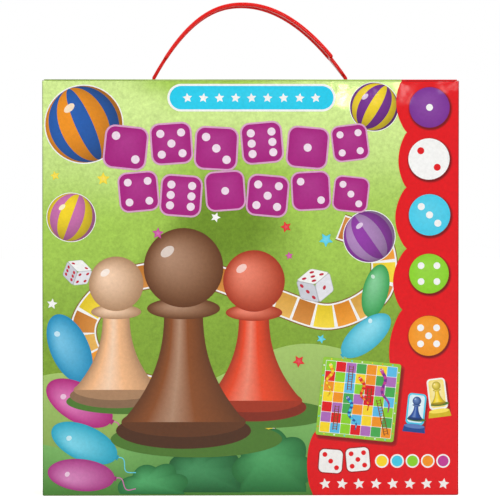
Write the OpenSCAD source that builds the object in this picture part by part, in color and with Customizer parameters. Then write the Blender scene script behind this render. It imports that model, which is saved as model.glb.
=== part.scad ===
// Snakes and ladders set in its carry box.
// A tray folded from one sheet of thin board stands on its bottom wall. Its front is a lid that hinges
// on the crease at the bottom front edge and is held shut by a tuck flap behind the top wall.
// A moulded handle turns on two bars under the top wall. The game lies inside.
// The origin is under the middle of the box, +Z is up, and the front looks along -Y.

/* [Carton] */
// Width of the box
box_w = 260; // [200:5:320]
// Height of the box without its handle
box_h = 260; // [230:5:320]
// Depth of the box
box_d = 45; // [42:1:70]
// Thickness of the carton board
board_t = 0.8; // [0.6:0.1:1]
// Gap between two layers of folded board
ply_gap = 0.1; // [0.05:0.05:0.2]
// Gap between the lid and the edges of the walls behind it
lid_gap = 0.3; // [0.2:0.1:0.6]
// Gap beside a crease that turns
crease_gap = 0.15; // [0.1:0.05:0.3]
// Length of the tuck flap on the lid
tuck_l = 15; // [8:1:18]
// Corner radius of the tuck flap
tuck_r = 9; // [4:1:12]
// Lean of the tuck flap away from the top wall, in degrees
tuck_lean = 6; // [4:1:9]
// Length of the corner tabs folded down between the side walls
tab_l = 32; // [20:1:45]
// Taper of the corner tabs at their free end
tab_taper = 6; // [2:1:10]
// Length of each lock tab on the rolled side walls
lock_l = 30; // [15:1:45]
// Clearance round a lock tab in its slot
lock_gap = 0.3; // [0.2:0.1:0.6]

/* [Handle] */
// Distance between the two handle slots
handle_span = 121.5; // [90:0.5:150]
// Height of the handle's arch over the slots
handle_rise = 45.9; // [36:0.1:60]
// Height over the box at which the arch starts
handle_base = 1.6; // [1:0.1:3]
// Shift of the arch's top towards the left
apex_shift = 5; // [0:1:10]
// Width of the thin strap at each end
strap_w = 5; // [3.5:0.5:6]
// Thickness of the strap
strap_t = 2.2; // [1.6:0.2:2.2]
// Width of the grip
grip_w = 11; // [9:1:16]
// Thickness of the grip
grip_t = 2.5; // [2.5:0.1:4]
// Depth of the channel under the grip
channel_d = 0.9; // [0.4:0.1:1.4]
// Thickness of the flanges beside the channel
flange_t = 1.6; // [1.2:0.1:2.4]
// Distance from the left slot to the grip
grip_inset_left = 7; // [4:1:20]
// Distance from the right slot to the grip
grip_inset_right = 9.5; // [4:0.5:20]
// Twist that turns the right half of the grip's underside to the front, in degrees
grip_twist = 9.2; // [1:0.1:15]
// Radius of the round bars that hold the handle
bar_r = 1.5; // [1.2:0.1:2]
// Length of the bars
bar_l = 13; // [8:1:14]
// Length of the slots in the top wall
slot_l = 14.6; // [14.6:0.1:18]
// Width of the slots
slot_w = 5.4; // [5.4:0.1:8]
// Corner radius of the slots
slot_r = 0.8; // [0.4:0.1:1.2]
// How far the strengthening pad under the top wall reaches past the slots
pad_reach = 30; // [10:1:35]
// Width of the pad in front of and behind the slots
pad_margin = 3.5; // [2:0.5:4]

/* [Game board] */
// Room that the square game board leaves on each side, out of the box's shorter side
field_room = 5; // [5:0.5:20]
// Thickness of the game board
field_t = 2; // [1.5:0.1:3]
// Corner radius of the game board
field_r = 8; // [2:1:15]

/* [Leaflet] */
// Width of the folded leaflet
leaflet_w = 148; // [100:2:180]
// Height of the folded leaflet
leaflet_h = 210; // [150:2:214]
// Thickness of its paper
paper_t = 0.2; // [0.1:0.05:0.3]

/* [Insert] */
// Thickness of the insert's card
card_t = 0.8; // [0.6:0.1:1.2]
// Inside width of the well for the small pieces
well_w = 116; // [112:2:160]
// Room over the insert, under the box's top
insert_room = 11; // [10:1:30]
// Length of the tabs on the shelves
shelf_tab_l = 12; // [8:1:20]
// How far the shelf tabs reach past the wall of the well
shelf_tab_reach = 2; // [1.5:0.1:4]

/* [Playing pieces] */
// Width of a player card
player_w = 32; // [24:1:34]
// Height of a player card
player_h = 56; // [44:1:56]
// Thickness of the punched card
piece_t = 2; // [1.5:0.1:2.4]
// Height of a card foot
foot_h = 18; // [14:1:20]
// Depth of the slots that join a player card to its foot
join_l = 9; // [6:0.5:9]
// Clearance in those slots
join_gap = 0.2; // [0.1:0.1:0.4]
// Diameter of a counter
counter_d = 30; // [20:1:32]
// Side of the die
die_side = 16; // [12:1:20]
// Radius of a pip on the die
pip_r = 1.7; // [1:0.1:2]
// Depth of a pip
pip_depth = 0.6; // [0.3:0.1:0.9]

/* [Hidden] */

// Cuts run this much past the faces that they open
overrun = 1;
// Number of sides that makes a true round
round_fn = 48;
// Gap round what lies loose in the box
loose_gap = 0.3;
// Gap between flat faces of loose pieces that lie on each other
rest_gap = 0.05;

// Places of the carton's faces
front_y = -box_d / 2;
back_y = box_d / 2;
side_x = box_w / 2;
// A crease bulges to twice the board's thickness
bead_r = board_t;
lid_back = front_y + board_t;
wall_front = lid_back + lid_gap;
bottom_front = front_y + 2 * bead_r + crease_gap;
lid_top = box_h - board_t - lid_gap;
// The outer side walls are cut a little short of the top and the bottom
side_trim = board_t / 2;
// Middle of the corner tabs and of the rolled inner side walls, from the outside inwards
tab_x = side_x - 3 / 2 * board_t - ply_gap;
roll_x = side_x - 5 / 2 * board_t - 2 * ply_gap;
inner_x = roll_x - board_t / 2;
roll_seam = wall_front + 2 * board_t;
roll_low = board_t + ply_gap;
roll_high = box_h - board_t - ply_gap;
// The lock tabs stand at these shares of the height
lock_shares = [0.25, 0.75];

// Middle of the handle's bars, which hang just under the pad
pad_low = box_h - 2 * board_t;
bar_z = pad_low - crease_gap - bar_r;
pad_x = handle_span / 2 + pad_reach;
pad_y = slot_l / 2 + pad_margin;

// Depths of what lies inside, from the lid backwards
field_side = min(box_w, box_h) - 2 * field_room;
field_front = front_y + 2 * bead_r + loose_gap;
leaflet_front = field_front + field_t + ply_gap;
leaflet_t = 2 * paper_t + ply_gap;
insert_front = leaflet_front + leaflet_t + ply_gap;
insert_back = back_y - board_t - ply_gap;
insert_x = inner_x - loose_gap;
insert_low = board_t + rest_gap;
insert_h = box_h - insert_room;
well_x = well_w / 2;
well_mid_y = (insert_front + insert_back - card_t) / 2;
// The shelves stand at these shares of the insert's height
shelf_shares = [1 / 3, 2 / 3];
function shelf_z(i) = insert_low + insert_h * shelf_shares[i];

// The arch of the handle falls away as a power of the distance from its top
left_power = 2.3;
right_power = 2.1;
arch_z = box_h + handle_base;
apex_x = -apex_shift;
left_half = handle_span / 2 - apex_shift;
right_half = handle_span / 2 + apex_shift;
grip_x0 = -handle_span / 2 + grip_inset_left;
grip_x1 = handle_span / 2 - grip_inset_right;
// The arch is swept from 0 degrees at the left slot to 180 degrees at the right one
grip_a0 = acos((apex_x - grip_x0) / left_half);
grip_a1 = 180 - acos((grip_x1 - apex_x) / right_half);
// The channel reaches its depth over this angle
channel_ramp = 3;
// The twist grows over twist_rise degrees from twist_start, and fades over twist_fade degrees to twist_end
twist_start = 37;
twist_rise = 63;
twist_end = 170;
twist_fade = 25;
strap_steps = 6;
grip_steps = 30;
// Cut corners on the sections of the grip and the strap
grip_corner = 0.8;
foot_corner = 0.4;
strap_corner = 0.6;
// A round corner's middle point lies at this share of its radius
corner_share = 0.29;

// Flat shapes

// A straight run of sheet from a to b, t thick
module run(a, b, t) {
    d = b - a;
    translate(a) rotate(atan2(d[1], d[0])) translate([0, -t / 2]) square([norm(d), t]);
}

// A sheet t thick, folded at the inner points of its middle line
module folded(points, t) {
    for (i = [0 : len(points) - 2]) run(points[i], points[i + 1], t);
    for (i = [1 : len(points) - 2]) translate(points[i]) circle(r = t / 2, $fn = round_fn);
}

// A rectangle from [0, 0] to [w, h] with round corners
module rounded(w, h, r) {
    translate([r, 0]) square([w - 2 * r, h]);
    translate([0, r]) square([w, h - 2 * r]);
    for (x = [r, w - r], y = [r, h - r]) translate([x, y]) circle(r = r, $fn = round_fn);
}

// Stands a flat shape, drawn in X and Z, up at depth y with thickness t towards +Y
module upright(y, t) {
    translate([0, y + t, 0]) rotate([90, 0, 0]) linear_extrude(t) children();
}

// A profile in Y and Z carried along X from -half to half
module along_x(half) {
    rotate([90, 0, 90]) translate([0, 0, -half]) linear_extrude(2 * half) children();
}

// Carton

// The outer side walls and the back panel, seen from above
module tray_plan() {
    x = side_x - board_t / 2;
    y = back_y - board_t / 2;
    folded([[-x, roll_seam], [-x, y], [x, y], [x, roll_seam]], board_t);
}

// The bottom wall, the back panel and the top wall, seen from the right
module tray_section() {
    y = back_y - board_t / 2;
    low = board_t / 2;
    high = box_h - board_t / 2;
    folded([[bottom_front, low], [y, low], [y, high], [wall_front, high]], board_t);
}

// A corner tab, folded down from the end of a wall, with a tapered end. It stands at its middle, +X
module corner_tab() {
    y0 = wall_front + board_t + ply_gap;
    y1 = back_y - board_t - ply_gap;
    fold_z = box_h - board_t / 2;
    along_end = [[y0, fold_z], [y1, fold_z], [y1 - tab_taper, fold_z - tab_l], [y0 + tab_taper, fold_z - tab_l]];
    translate([tab_x - board_t / 2, 0, 0]) rotate([90, 0, 90]) linear_extrude(board_t) polygon(along_end);
    translate([tab_x, y0, fold_z]) rotate([-90, 0, 0]) cylinder(r = board_t / 2, h = y1 - y0, $fn = round_fn);
}

// Puts its children at the top right and, mirrored, at the other three corners
module at_corners() {
    for (s = [0, 1], v = [0, 1])
        mirror([s, 0, 0]) translate([0, 0, v * box_h]) mirror([0, 0, v]) children();
}

// The two slots that the handle passes through
module handle_slots() {
    depth = 2 * (board_t + overrun);
    for (s = [-1, 1])
        translate([s * handle_span / 2 - slot_w / 2, -slot_l / 2, box_h - depth])
            linear_extrude(2 * depth) rounded(slot_w, slot_l, slot_r);
}

module carton_tray() {
    lock_w = board_t + 2 * lock_gap;
    color("yellowgreen") difference() {
        union() {
            translate([0, 0, side_trim]) linear_extrude(box_h - 2 * side_trim) tray_plan();
            along_x(tab_x) tray_section();
            at_corners() corner_tab();
        }
        handle_slots();
        for (s = [-1, 1], share = lock_shares)
            translate([s * roll_x - lock_w / 2, back_y - board_t - overrun, box_h * share - lock_l / 2 - lock_gap])
                cube([lock_w, board_t + 2 * overrun, lock_l + 2 * lock_gap]);
    }
}

// The inner layer of a side wall: it rolls over the front edge and locks into the back panel
module side_roll() {
    x = side_x - board_t / 2;
    y = wall_front + board_t / 2;
    end_y = back_y - board_t - ply_gap;
    translate([0, 0, roll_low]) linear_extrude(roll_high - roll_low)
        folded([[x, roll_seam], [x, y], [roll_x, y], [roll_x, end_y]], board_t);
    for (share = lock_shares)
        translate([roll_x - board_t / 2, end_y - board_t, box_h * share - lock_l / 2])
            cube([board_t, back_y - end_y + board_t - ply_gap, lock_l]);
}

module side_roll_left() {
    color("whitesmoke") mirror([1, 0, 0]) side_roll();
}

module side_roll_right() {
    color("whitesmoke") side_roll();
}

// Spreads the pull of the handle's bars over the top wall
module handle_pad() {
    color("whitesmoke") difference() {
        translate([-pad_x, -pad_y, pad_low]) linear_extrude(board_t) rounded(2 * pad_x, 2 * pad_y, pad_margin);
        handle_slots();
    }
}

// The bead of a crease along X, at height z on the lid. Its back is crushed flat at both ends,
// where the lid lies before the rolled side walls
module crease(z) {
    crushed = side_x - inner_x + loose_gap;
    difference() {
        translate([-side_x, lid_back, z]) rotate([0, 90, 0]) cylinder(r = bead_r, h = box_w, $fn = round_fn);
        for (s = [-1, 1])
            translate([s * (side_x - crushed / 2 + overrun / 2), lid_back + bead_r, z])
                cube([crushed + overrun, 2 * bead_r, 2 * (bead_r + overrun)], center = true);
    }
}

module lid_panel() {
    color("yellowgreen") {
        translate([-side_x, front_y, bead_r]) cube([box_w, board_t, lid_top - 2 * bead_r]);
        crease(bead_r);
        crease(lid_top - bead_r);
    }
}

// Hangs on the lid's upper crease and leans down behind the top wall
module tuck_flap() {
    root = bead_r + crease_gap;
    reach = tuck_l - bead_r;
    half = inner_x - 2 * loose_gap;
    // Only the free edge has round corners, so the rounded sheet is cut off at the crease
    full = tuck_l + 2 * tuck_r;
    color("whitesmoke") translate([0, front_y + bead_r, lid_top - bead_r]) rotate([-tuck_lean, 0, 0])
        translate([0, 0, bead_r - board_t]) linear_extrude(board_t) intersection() {
            translate([-half, root]) square([2 * half, reach - root]);
            translate([-half, reach - full]) rounded(2 * half, full, tuck_r);
        }
}

// Handle

function arch_half(a) = a < 90 ? left_half : right_half;
function arch_power(a) = a < 90 ? left_power : right_power;
function arch_place(a) = [
    apex_x - arch_half(a) * cos(a),
    arch_z + handle_rise * (1 - pow(abs(cos(a)), arch_power(a)))
];
// The slope of the arch at an angle, as a direction in X and Z
function arch_way(a) = [
    arch_half(a),
    handle_rise * arch_power(a) * pow(abs(cos(a)), arch_power(a) - 1) * sign(cos(a))
];
function held(s) = max(0, min(1, s));
function arch_twist(a) = -grip_twist * held((a - twist_start) / twist_rise) * held((twist_end - a) / twist_fade);

// Sections of the handle, sixteen points each: across it in Y, and outwards from its middle line
grip_x = grip_w / 2;
grip_z = grip_t / 2;
toe_z = foot_corner - grip_z;
strap_x = strap_w / 2;
strap_z = strap_t / 2;
function upper_half(x, z, c) = [
    [x, z - c], [x - c * corner_share, z - c * corner_share], [x - c, z],
    [c - x, z], [c * corner_share - x, z - c * corner_share], [-x, z - c]
];
strap_section = concat(
    [[strap_x, 0]], upper_half(strap_x, strap_z, strap_corner), [[-strap_x, 0]],
    [[-strap_x, -strap_z / 4], [-strap_x, strap_corner - strap_z]],
    [[strap_corner * corner_share - strap_x, strap_corner * corner_share - strap_z]],
    [[strap_corner - strap_x, -strap_z], [strap_x - strap_corner, -strap_z]],
    [[strap_x - strap_corner * corner_share, strap_corner * corner_share - strap_z]],
    [[strap_x, strap_corner - strap_z], [strap_x, -strap_z / 4]]
);
// The grip with its channel d deep. The channel's edges are cut by c
function grip_section(d, c) = let (edge = grip_x - flange_t) concat(
    [[grip_x, toe_z]], upper_half(grip_x, grip_z, grip_corner), [[-grip_x, toe_z]],
    [[foot_corner - grip_x, -grip_z], [-edge - foot_corner, -grip_z], [-edge, c - grip_z]],
    [[foot_corner - edge, d - grip_z], [edge - foot_corner, d - grip_z]],
    [[edge, c - grip_z], [edge + foot_corner, -grip_z], [grip_x - foot_corner, -grip_z]]
);

// A section set at a place, square to a direction in X and Z, and turned about it
function ring(section, place, way, turn) = let (l = norm(way), u = way / l) [
    for (p = section) let (
        across = p[0] * cos(turn) - p[1] * sin(turn),
        out = p[0] * sin(turn) + p[1] * cos(turn)
    ) [place[0] - u[1] * out, across, place[1] + u[0] * out]
];
function arch_ring(section, a) = ring(section, arch_place(a), arch_way(a), arch_twist(a));
function steps(from, to, n) = [for (i = [0 : n]) from + (to - from) * i / n];

bar_x = handle_span / 2;
stem_z = box_h - board_t / 2;
blunt_section = grip_section(0, 0);
handle_rings = concat(
    [ring(strap_section, [-bar_x, bar_z], [0, 1], 0), ring(strap_section, [-bar_x, stem_z], [0, 1], 0)],
    [for (a = steps(0, grip_a0, strap_steps)) arch_ring(strap_section, a)],
    [arch_ring(blunt_section, grip_a0)],
    [for (a = steps(grip_a0 + channel_ramp, grip_a1 - channel_ramp, grip_steps))
        arch_ring(grip_section(channel_d, foot_corner), a)],
    [arch_ring(blunt_section, grip_a1)],
    [for (a = steps(grip_a1, 180, strap_steps)) arch_ring(strap_section, a)],
    [ring(strap_section, [bar_x, stem_z], [0, -1], 0), ring(strap_section, [bar_x, bar_z], [0, -1], 0)]
);

// A closed skin over a row of rings with the same number of points
module skin(rings) {
    n = len(rings[0]);
    last = len(rings) - 1;
    sides = [for (k = [0 : last - 1], i = [0 : n - 1]) let (
        a = k * n + i, b = k * n + (i + 1) % n, c = a + n, d = b + n
    ) each [[a, d, b], [a, c, d]]];
    caps = [[for (i = [0 : n - 1]) i], [for (i = [n - 1 : -1 : 0]) last * n + i]];
    polyhedron(points = [for (r = rings) each r], faces = concat(sides, caps));
}

module handle() {
    color("red") {
        skin(handle_rings);
        for (s = [-1, 1])
            translate([s * bar_x - bar_l / 2, 0, bar_z]) rotate([0, 90, 0])
                cylinder(r = bar_r, h = bar_l, $fn = round_fn);
    }
}

// Game board and leaflet

module game_board() {
    color("gold") translate([-field_side / 2, 0, board_t + rest_gap])
        upright(field_front, field_t) rounded(field_side, field_side, field_r);
}

// One sheet folded once, with its fold at the left
module rules_leaflet() {
    x = leaflet_w / 2;
    y = leaflet_front + paper_t / 2;
    step = paper_t + ply_gap;
    color("white") translate([0, 0, board_t + rest_gap]) linear_extrude(leaflet_h)
        folded([[x, y], [-x, y], [-x, y + step], [x, y + step]], paper_t);
}

// Insert

// Two hollow platforms with a well between them, folded from one sheet, seen from above
module insert_plan() {
    c = card_t / 2;
    leg_x = insert_x - c;
    wall_x = well_x + c;
    y0 = insert_front + c;
    y1 = insert_back - c;
    folded([[-leg_x, y1], [-leg_x, y0], [-wall_x, y0], [-wall_x, y1], [wall_x, y1], [wall_x, y0],
        [leg_x, y0], [leg_x, y1]], card_t);
}

module insert_tray() {
    slot_y = shelf_tab_l + 2 * loose_gap;
    slot_z = card_t + 2 * ply_gap;
    color("white") difference() {
        translate([0, 0, insert_low]) linear_extrude(insert_h) insert_plan();
        for (s = [-1, 1], i = [0, 1])
            translate([s * (well_x + card_t / 2), well_mid_y, shelf_z(i) + card_t / 2])
                cube([card_t + 2 * overrun, slot_y, slot_z], center = true);
    }
}

// A shelf across the well, held by a tab at each end
module shelf(i) {
    half = well_x - loose_gap;
    depth = insert_back - card_t - insert_front - 2 * loose_gap;
    color("white") translate([0, well_mid_y, shelf_z(i) + card_t / 2]) {
        cube([2 * half, depth, card_t], center = true);
        cube([2 * (well_x + card_t + shelf_tab_reach), shelf_tab_l, card_t], center = true);
    }
}

module shelf_lower() {
    shelf(0);
}

module shelf_upper() {
    shelf(1);
}

// Playing pieces

// A tall card with a round top and a slot at its foot
module player_shape() {
    r = player_w / 2;
    difference() {
        union() {
            translate([-r, 0]) square([player_w, player_h - r]);
            translate([0, player_h - r]) circle(r = r, $fn = round_fn);
        }
        translate([-piece_t / 2 - join_gap, -overrun])
            square([piece_t + 2 * join_gap, join_l + overrun]);
    }
}

// A low foot with sloping ends and a slot at its top
module foot_shape() {
    wide = player_w / 2;
    narrow = wide - foot_h / 3;
    difference() {
        polygon([[-wide, 0], [wide, 0], [wide, foot_h / 3], [narrow, foot_h], [-narrow, foot_h],
            [-wide, foot_h / 3]]);
        translate([-piece_t / 2 - join_gap, foot_h - join_l])
            square([piece_t + 2 * join_gap, join_l + overrun]);
    }
}

// Height of piece i in a pile that stands on z
function pile_z(z, i) = z + rest_gap + i * (piece_t + rest_gap);
piece_gap = 5;
pile_floor = board_t;
player_x = -well_x + piece_gap;
foot_x = player_x + player_h + piece_gap + player_w / 2;

// Player cards lie in a pile on the bottom wall, at the left of the well
module player_card(i) {
    translate([player_x, well_mid_y, pile_z(pile_floor, i)]) rotate(-90) linear_extrude(piece_t) player_shape();
}

// Their feet lie in a pile beside them
module card_foot(i) {
    translate([foot_x, well_mid_y - foot_h / 2, pile_z(pile_floor, i)]) linear_extrude(piece_t) foot_shape();
}

module player_card_red() {
    color("crimson") player_card(0);
}

module player_card_yellow() {
    color("gold") player_card(1);
}

module player_card_green() {
    color("limegreen") player_card(2);
}

module player_card_blue() {
    color("deepskyblue") player_card(3);
}

module card_foot_red() {
    color("crimson") card_foot(0);
}

module card_foot_yellow() {
    color("gold") card_foot(1);
}

module card_foot_green() {
    color("limegreen") card_foot(2);
}

module card_foot_blue() {
    color("deepskyblue") card_foot(3);
}

// A pile of n counters at x, standing on z
module counters(n, x, z) {
    for (i = [0 : n - 1])
        translate([x, well_mid_y, pile_z(z, i)]) cylinder(d = counter_d, h = piece_t, $fn = round_fn);
}

pile_step = counter_d + piece_gap;
lower_floor = shelf_z(0) + card_t;
upper_floor = shelf_z(1) + card_t;

module counters_red() {
    color("crimson") counters(7, -pile_step, lower_floor);
}

module counters_yellow() {
    color("gold") counters(7, 0, lower_floor);
}

module counters_green() {
    color("limegreen") counters(6, pile_step, lower_floor);
}

module counters_blue() {
    color("deepskyblue") counters(6, -pile_step, upper_floor);
}

// Places of the pips for one to six, in steps of the pip pitch
pip_faces = [
    [[0, 0]],
    [[-1, -1], [1, 1]],
    [[-1, -1], [0, 0], [1, 1]],
    [[-1, -1], [-1, 1], [1, -1], [1, 1]],
    [[-1, -1], [-1, 1], [0, 0], [1, -1], [1, 1]],
    [[-1, -1], [-1, 0], [-1, 1], [1, -1], [1, 0], [1, 1]]
];
// The ball that rounds the die's corners and edges has this share of its side as radius
die_round_share = 0.7;
// The turn that brings each face to the top; opposite faces add up to seven
face_turns = [[0, 0, 0], [90, 0, 0], [0, 90, 0], [0, -90, 0], [-90, 0, 0], [180, 0, 0]];

module die() {
    // A pip is a cap of a ball whose rim has the pip's radius
    ball_r = (pip_r * pip_r + pip_depth * pip_depth) / (2 * pip_depth);
    pitch = die_side / 4;
    color("white") translate([0, well_mid_y, upper_floor + rest_gap + die_side / 2]) difference() {
        intersection() {
            cube(die_side, center = true);
            sphere(r = die_side * die_round_share, $fn = 2 * round_fn);
        }
        for (f = [0 : 5], p = pip_faces[f])
            rotate(face_turns[f])
                translate([p[0] * pitch, p[1] * pitch, die_side / 2 + ball_r - pip_depth])
                    sphere(r = ball_r, $fn = round_fn);
    }
}

carton_tray();
side_roll_left();
side_roll_right();
handle_pad();
lid_panel();
tuck_flap();
handle();
game_board();
rules_leaflet();
insert_tray();
shelf_lower();
shelf_upper();
player_card_red();
player_card_yellow();
player_card_green();
player_card_blue();
card_foot_red();
card_foot_yellow();
card_foot_green();
card_foot_blue();
counters_red();
counters_yellow();
counters_green();
counters_blue();
die();
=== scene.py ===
"""The looks of a snakes and ladders set in its carry box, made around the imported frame.

Each operator makes one piece or group of pieces. Printed art is a mesh of thin closed slabs of ink that
lie on the face they are printed on, so every motif keeps its crisp edge from near by.
"""

import math

import bpy
import numpy as np
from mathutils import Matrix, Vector


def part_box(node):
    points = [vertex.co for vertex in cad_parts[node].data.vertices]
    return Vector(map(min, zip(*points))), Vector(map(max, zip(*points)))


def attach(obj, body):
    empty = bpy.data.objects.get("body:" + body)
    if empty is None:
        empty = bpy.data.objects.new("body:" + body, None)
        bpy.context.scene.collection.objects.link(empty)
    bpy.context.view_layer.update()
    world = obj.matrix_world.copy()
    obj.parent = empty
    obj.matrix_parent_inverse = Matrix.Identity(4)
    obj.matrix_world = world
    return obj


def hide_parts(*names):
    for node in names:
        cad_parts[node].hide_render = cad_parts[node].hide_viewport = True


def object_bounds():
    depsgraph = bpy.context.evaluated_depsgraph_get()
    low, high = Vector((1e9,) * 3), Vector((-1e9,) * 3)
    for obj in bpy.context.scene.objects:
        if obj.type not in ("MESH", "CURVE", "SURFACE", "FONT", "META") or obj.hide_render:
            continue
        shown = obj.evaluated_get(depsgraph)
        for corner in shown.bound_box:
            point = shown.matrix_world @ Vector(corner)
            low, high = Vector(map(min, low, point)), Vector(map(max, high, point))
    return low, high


bl_info = {
    "name": "Snakes and ladders set",
    "version": (1, 0, 0),
    "blender": (4, 5, 0),
    "location": "3D View > Sidebar > Game set",
    "description": "Makes the printed carton, the carry handle and the playing pieces of a board game",
    "category": "Object",
}

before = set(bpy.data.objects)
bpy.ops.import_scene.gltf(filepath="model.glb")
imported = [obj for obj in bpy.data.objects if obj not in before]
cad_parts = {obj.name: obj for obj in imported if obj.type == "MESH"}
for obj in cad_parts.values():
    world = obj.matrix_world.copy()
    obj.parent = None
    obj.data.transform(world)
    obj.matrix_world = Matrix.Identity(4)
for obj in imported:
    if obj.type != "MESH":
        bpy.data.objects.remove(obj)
CAD_LOW, CAD_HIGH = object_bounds()

MM = 0.001
LID_LOW, LID_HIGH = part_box("lid_panel")
TRAY_LOW, TRAY_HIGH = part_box("carton_tray")
FIELD_LOW, FIELD_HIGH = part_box("game_board")
HANDLE_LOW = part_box("handle")[0]
DIE_LOW, DIE_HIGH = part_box("die")


# Colours

def rgb(red, green, blue):
    """A colour from 0 to 255 as shares."""
    return (red / 255, green / 255, blue / 255)


def linear(colour):
    """sRGB shares turned to linear light, as shaders and colour attributes hold them."""
    c = np.asarray(colour, float)
    return np.where(c <= 0.04045, c / 12.92, ((c + 0.055) / 1.055) ** 2.4)


def blend(a, b, share):
    """The colour at a share of the way from a to b. Share may be an array."""
    share = np.asarray(share, float)[..., None]
    return np.asarray(a, float) * (1 - share) + np.asarray(b, float) * share


def darker(colour, share):
    """A colour with a share of its light taken away."""
    return tuple(np.asarray(colour, float) * (1 - share))


def lighter(colour, share):
    """A colour moved by a share towards white."""
    return tuple(1 - (1 - np.asarray(colour, float)) * (1 - share))


WHITE = (0.97, 0.97, 0.96)
RED = rgb(226, 16, 26)
PURPLE = rgb(122, 45, 148)
SKY = rgb(70, 205, 235)
LIME = rgb(140, 212, 40)
ORANGE = rgb(245, 150, 28)
YELLOW = rgb(252, 220, 40)
BLUE = rgb(40, 85, 170)
MAGENTA = rgb(196, 60, 150)
BROWN = rgb(140, 78, 36)
PEACH = rgb(248, 190, 140)
TAN = rgb(214, 130, 40)
GREEN_SHADE = rgb(78, 122, 44)
PIP_RED = rgb(196, 40, 60)
BARE_CARD = rgb(232, 231, 226)
WEAR_WHITE = (0.93, 0.92, 0.89)


# Settings

def length(name, description, millimetres):
    """A length, whose default is given in millimetres."""
    return bpy.props.FloatProperty(
        name=name, description=description, default=millimetres * MM, unit="LENGTH")


def factor(name, description, default):
    """A share from 0 to 1."""
    return bpy.props.FloatProperty(
        name=name, description=description, default=default, min=0, max=1, subtype="FACTOR")


def strength(name, description, default):
    """How strong a light is."""
    return bpy.props.FloatProperty(name=name, description=description, default=default, min=0)


def paint(name, description, *levels):
    """A colour, whose default is given from 0 to 255."""
    return bpy.props.FloatVectorProperty(
        name=name, description=description, default=rgb(*levels), subtype="COLOR_GAMMA")


class COVER_PG_settings(bpy.types.PropertyGroup):
    """Sizes and colours of the printed lid."""

    ink_step: length("Ink step", "Height of one layer of ink", 0.015)
    ink_depth: length("Ink depth", "How far the bare face lies behind the box's front", 0.3)
    ground_light: paint("Foil light", "Foil ground in the upper corners", 214, 240, 150)
    ground_mid: paint("Foil", "Foil ground between light and dark", 166, 204, 84)
    ground_dark: paint("Foil dark", "Foil ground in the middle and low down", 112, 146, 40)
    band_red: paint("Band red", "Scalloped band at the right", 228, 12, 22)
    title_ink: paint("Title tiles", "Tiles in the title's place", 166, 24, 124)
    pill_ink: paint("Pill", "Long label over the title", 30, 205, 238)
    wear: factor("Edge wear", "How much white board shows at worn edges", 0.12)


class HANDLE_PG_settings(bpy.types.PropertyGroup):
    """Sizes of the moulded handle, as on its solid."""

    span: length("Span", "Distance between the slots", 121.5)
    rise: length("Rise", "Height of the arch over the slots", 45.9)
    base: length("Base", "Height over the box where the arch starts", 1.6)
    apex_shift: length("Apex shift", "Shift of the arch's top to the left", 5)
    strap_width: length("Strap width", "Width of the thin strap", 5)
    strap_thick: length("Strap thickness", "Thickness of the thin strap", 2.2)
    grip_width: length("Grip width", "Width of the grip", 11)
    grip_thick: length("Grip thickness", "Thickness of the grip", 2.4)
    channel_depth: length("Channel depth", "Depth of the channel under the grip", 0.9)
    flange_thick: length("Flange thickness", "Thickness of the flanges beside the channel", 1.6)
    inset_left: length("Left inset", "Distance from the left slot to the grip", 7)
    inset_right: length("Right inset", "Distance from the right slot to the grip", 9.5)
    twist: bpy.props.FloatProperty(
        name="Twist", description="Turns the right half of the grip's underside to the front",
        default=math.radians(8.1), subtype="ANGLE")
    bar_radius: length("Bar radius", "Radius of the bars under the top wall", 1.5)
    bar_length: length("Bar length", "Length of those bars", 13)
    colour: paint("Colour", "Colour of the plastic", 235, 14, 4)


class FIELD_PG_settings(bpy.types.PropertyGroup):
    """The game board's grid."""

    squares: bpy.props.IntProperty(
        name="Squares", description="Squares along each side", default=7, min=4, max=10)
    margin_share: factor("Margin", "Border as a share of the side", 0.042)
    gap_share: factor("Gap", "White line as a share of a square", 0.04)


class STAGE_PG_settings(bpy.types.PropertyGroup):
    """Camera and lamps."""

    distance: length("Camera distance", "From the lens to the box's front", 1800)
    picture_width: length("Picture width", "Width of the picture at the box's front", 312)
    aim_x: length("Aim across", "Middle of the picture across the box", -0.5)
    aim_z: length("Aim height", "Middle of the picture over the floor", 153.6)
    beside: length("Camera beside", "How far the camera stands to the right of the picture's middle", -32)
    above: length("Camera above", "How far the camera stands over the picture's middle", 38)
    world_light: strength("World light", "Strength of the light from all around", 0.62)
    lamp_light: strength("Lamp light", "Scale of the lamps' power", 1.0)


# Meshes

def make_piece(name, points, faces, material, body, smooth_angle=None):
    """A mesh of given points and faces that rides on a body, with its place in its points."""
    mesh = bpy.data.meshes.new(name)
    mesh.from_pydata(np.asarray(points, float).tolist(), [], faces)
    mesh.materials.append(material)
    if smooth_angle is not None:
        mesh.polygons.foreach_set("use_smooth", np.ones(len(mesh.polygons), bool))
        mesh.set_sharp_from_angle(angle=math.radians(smooth_angle))
    mesh.validate()
    piece = bpy.data.objects.new(name, mesh)
    bpy.context.scene.collection.objects.link(piece)
    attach(piece, body)
    return piece


def loft(rings):
    """Points and faces of a closed skin over rings of equal length, with a flat cap at each end.

    The sum of p0 . (p1 x p2) over the triangles between the rings is negative where they look inwards, and
    then every face is turned round."""
    count, around, _ = rings.shape
    points = rings.reshape(-1, 3)
    index = np.arange(count * around).reshape(count, around)
    beside = np.roll(index, -1, axis=1)
    quads = np.stack([index[:-1], beside[:-1], beside[1:], index[1:]], axis=-1).reshape(-1, 4)
    corners = points[quads]
    outward = sum(
        np.einsum("ij,ij->", corners[:, 0], np.cross(corners[:, a], corners[:, a + 1])) for a in (1, 2))
    faces = quads.tolist() + [index[0][::-1].tolist(), index[-1].tolist()]
    if outward < 0:
        faces = [face[::-1] for face in faces]
    return points, faces


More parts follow.
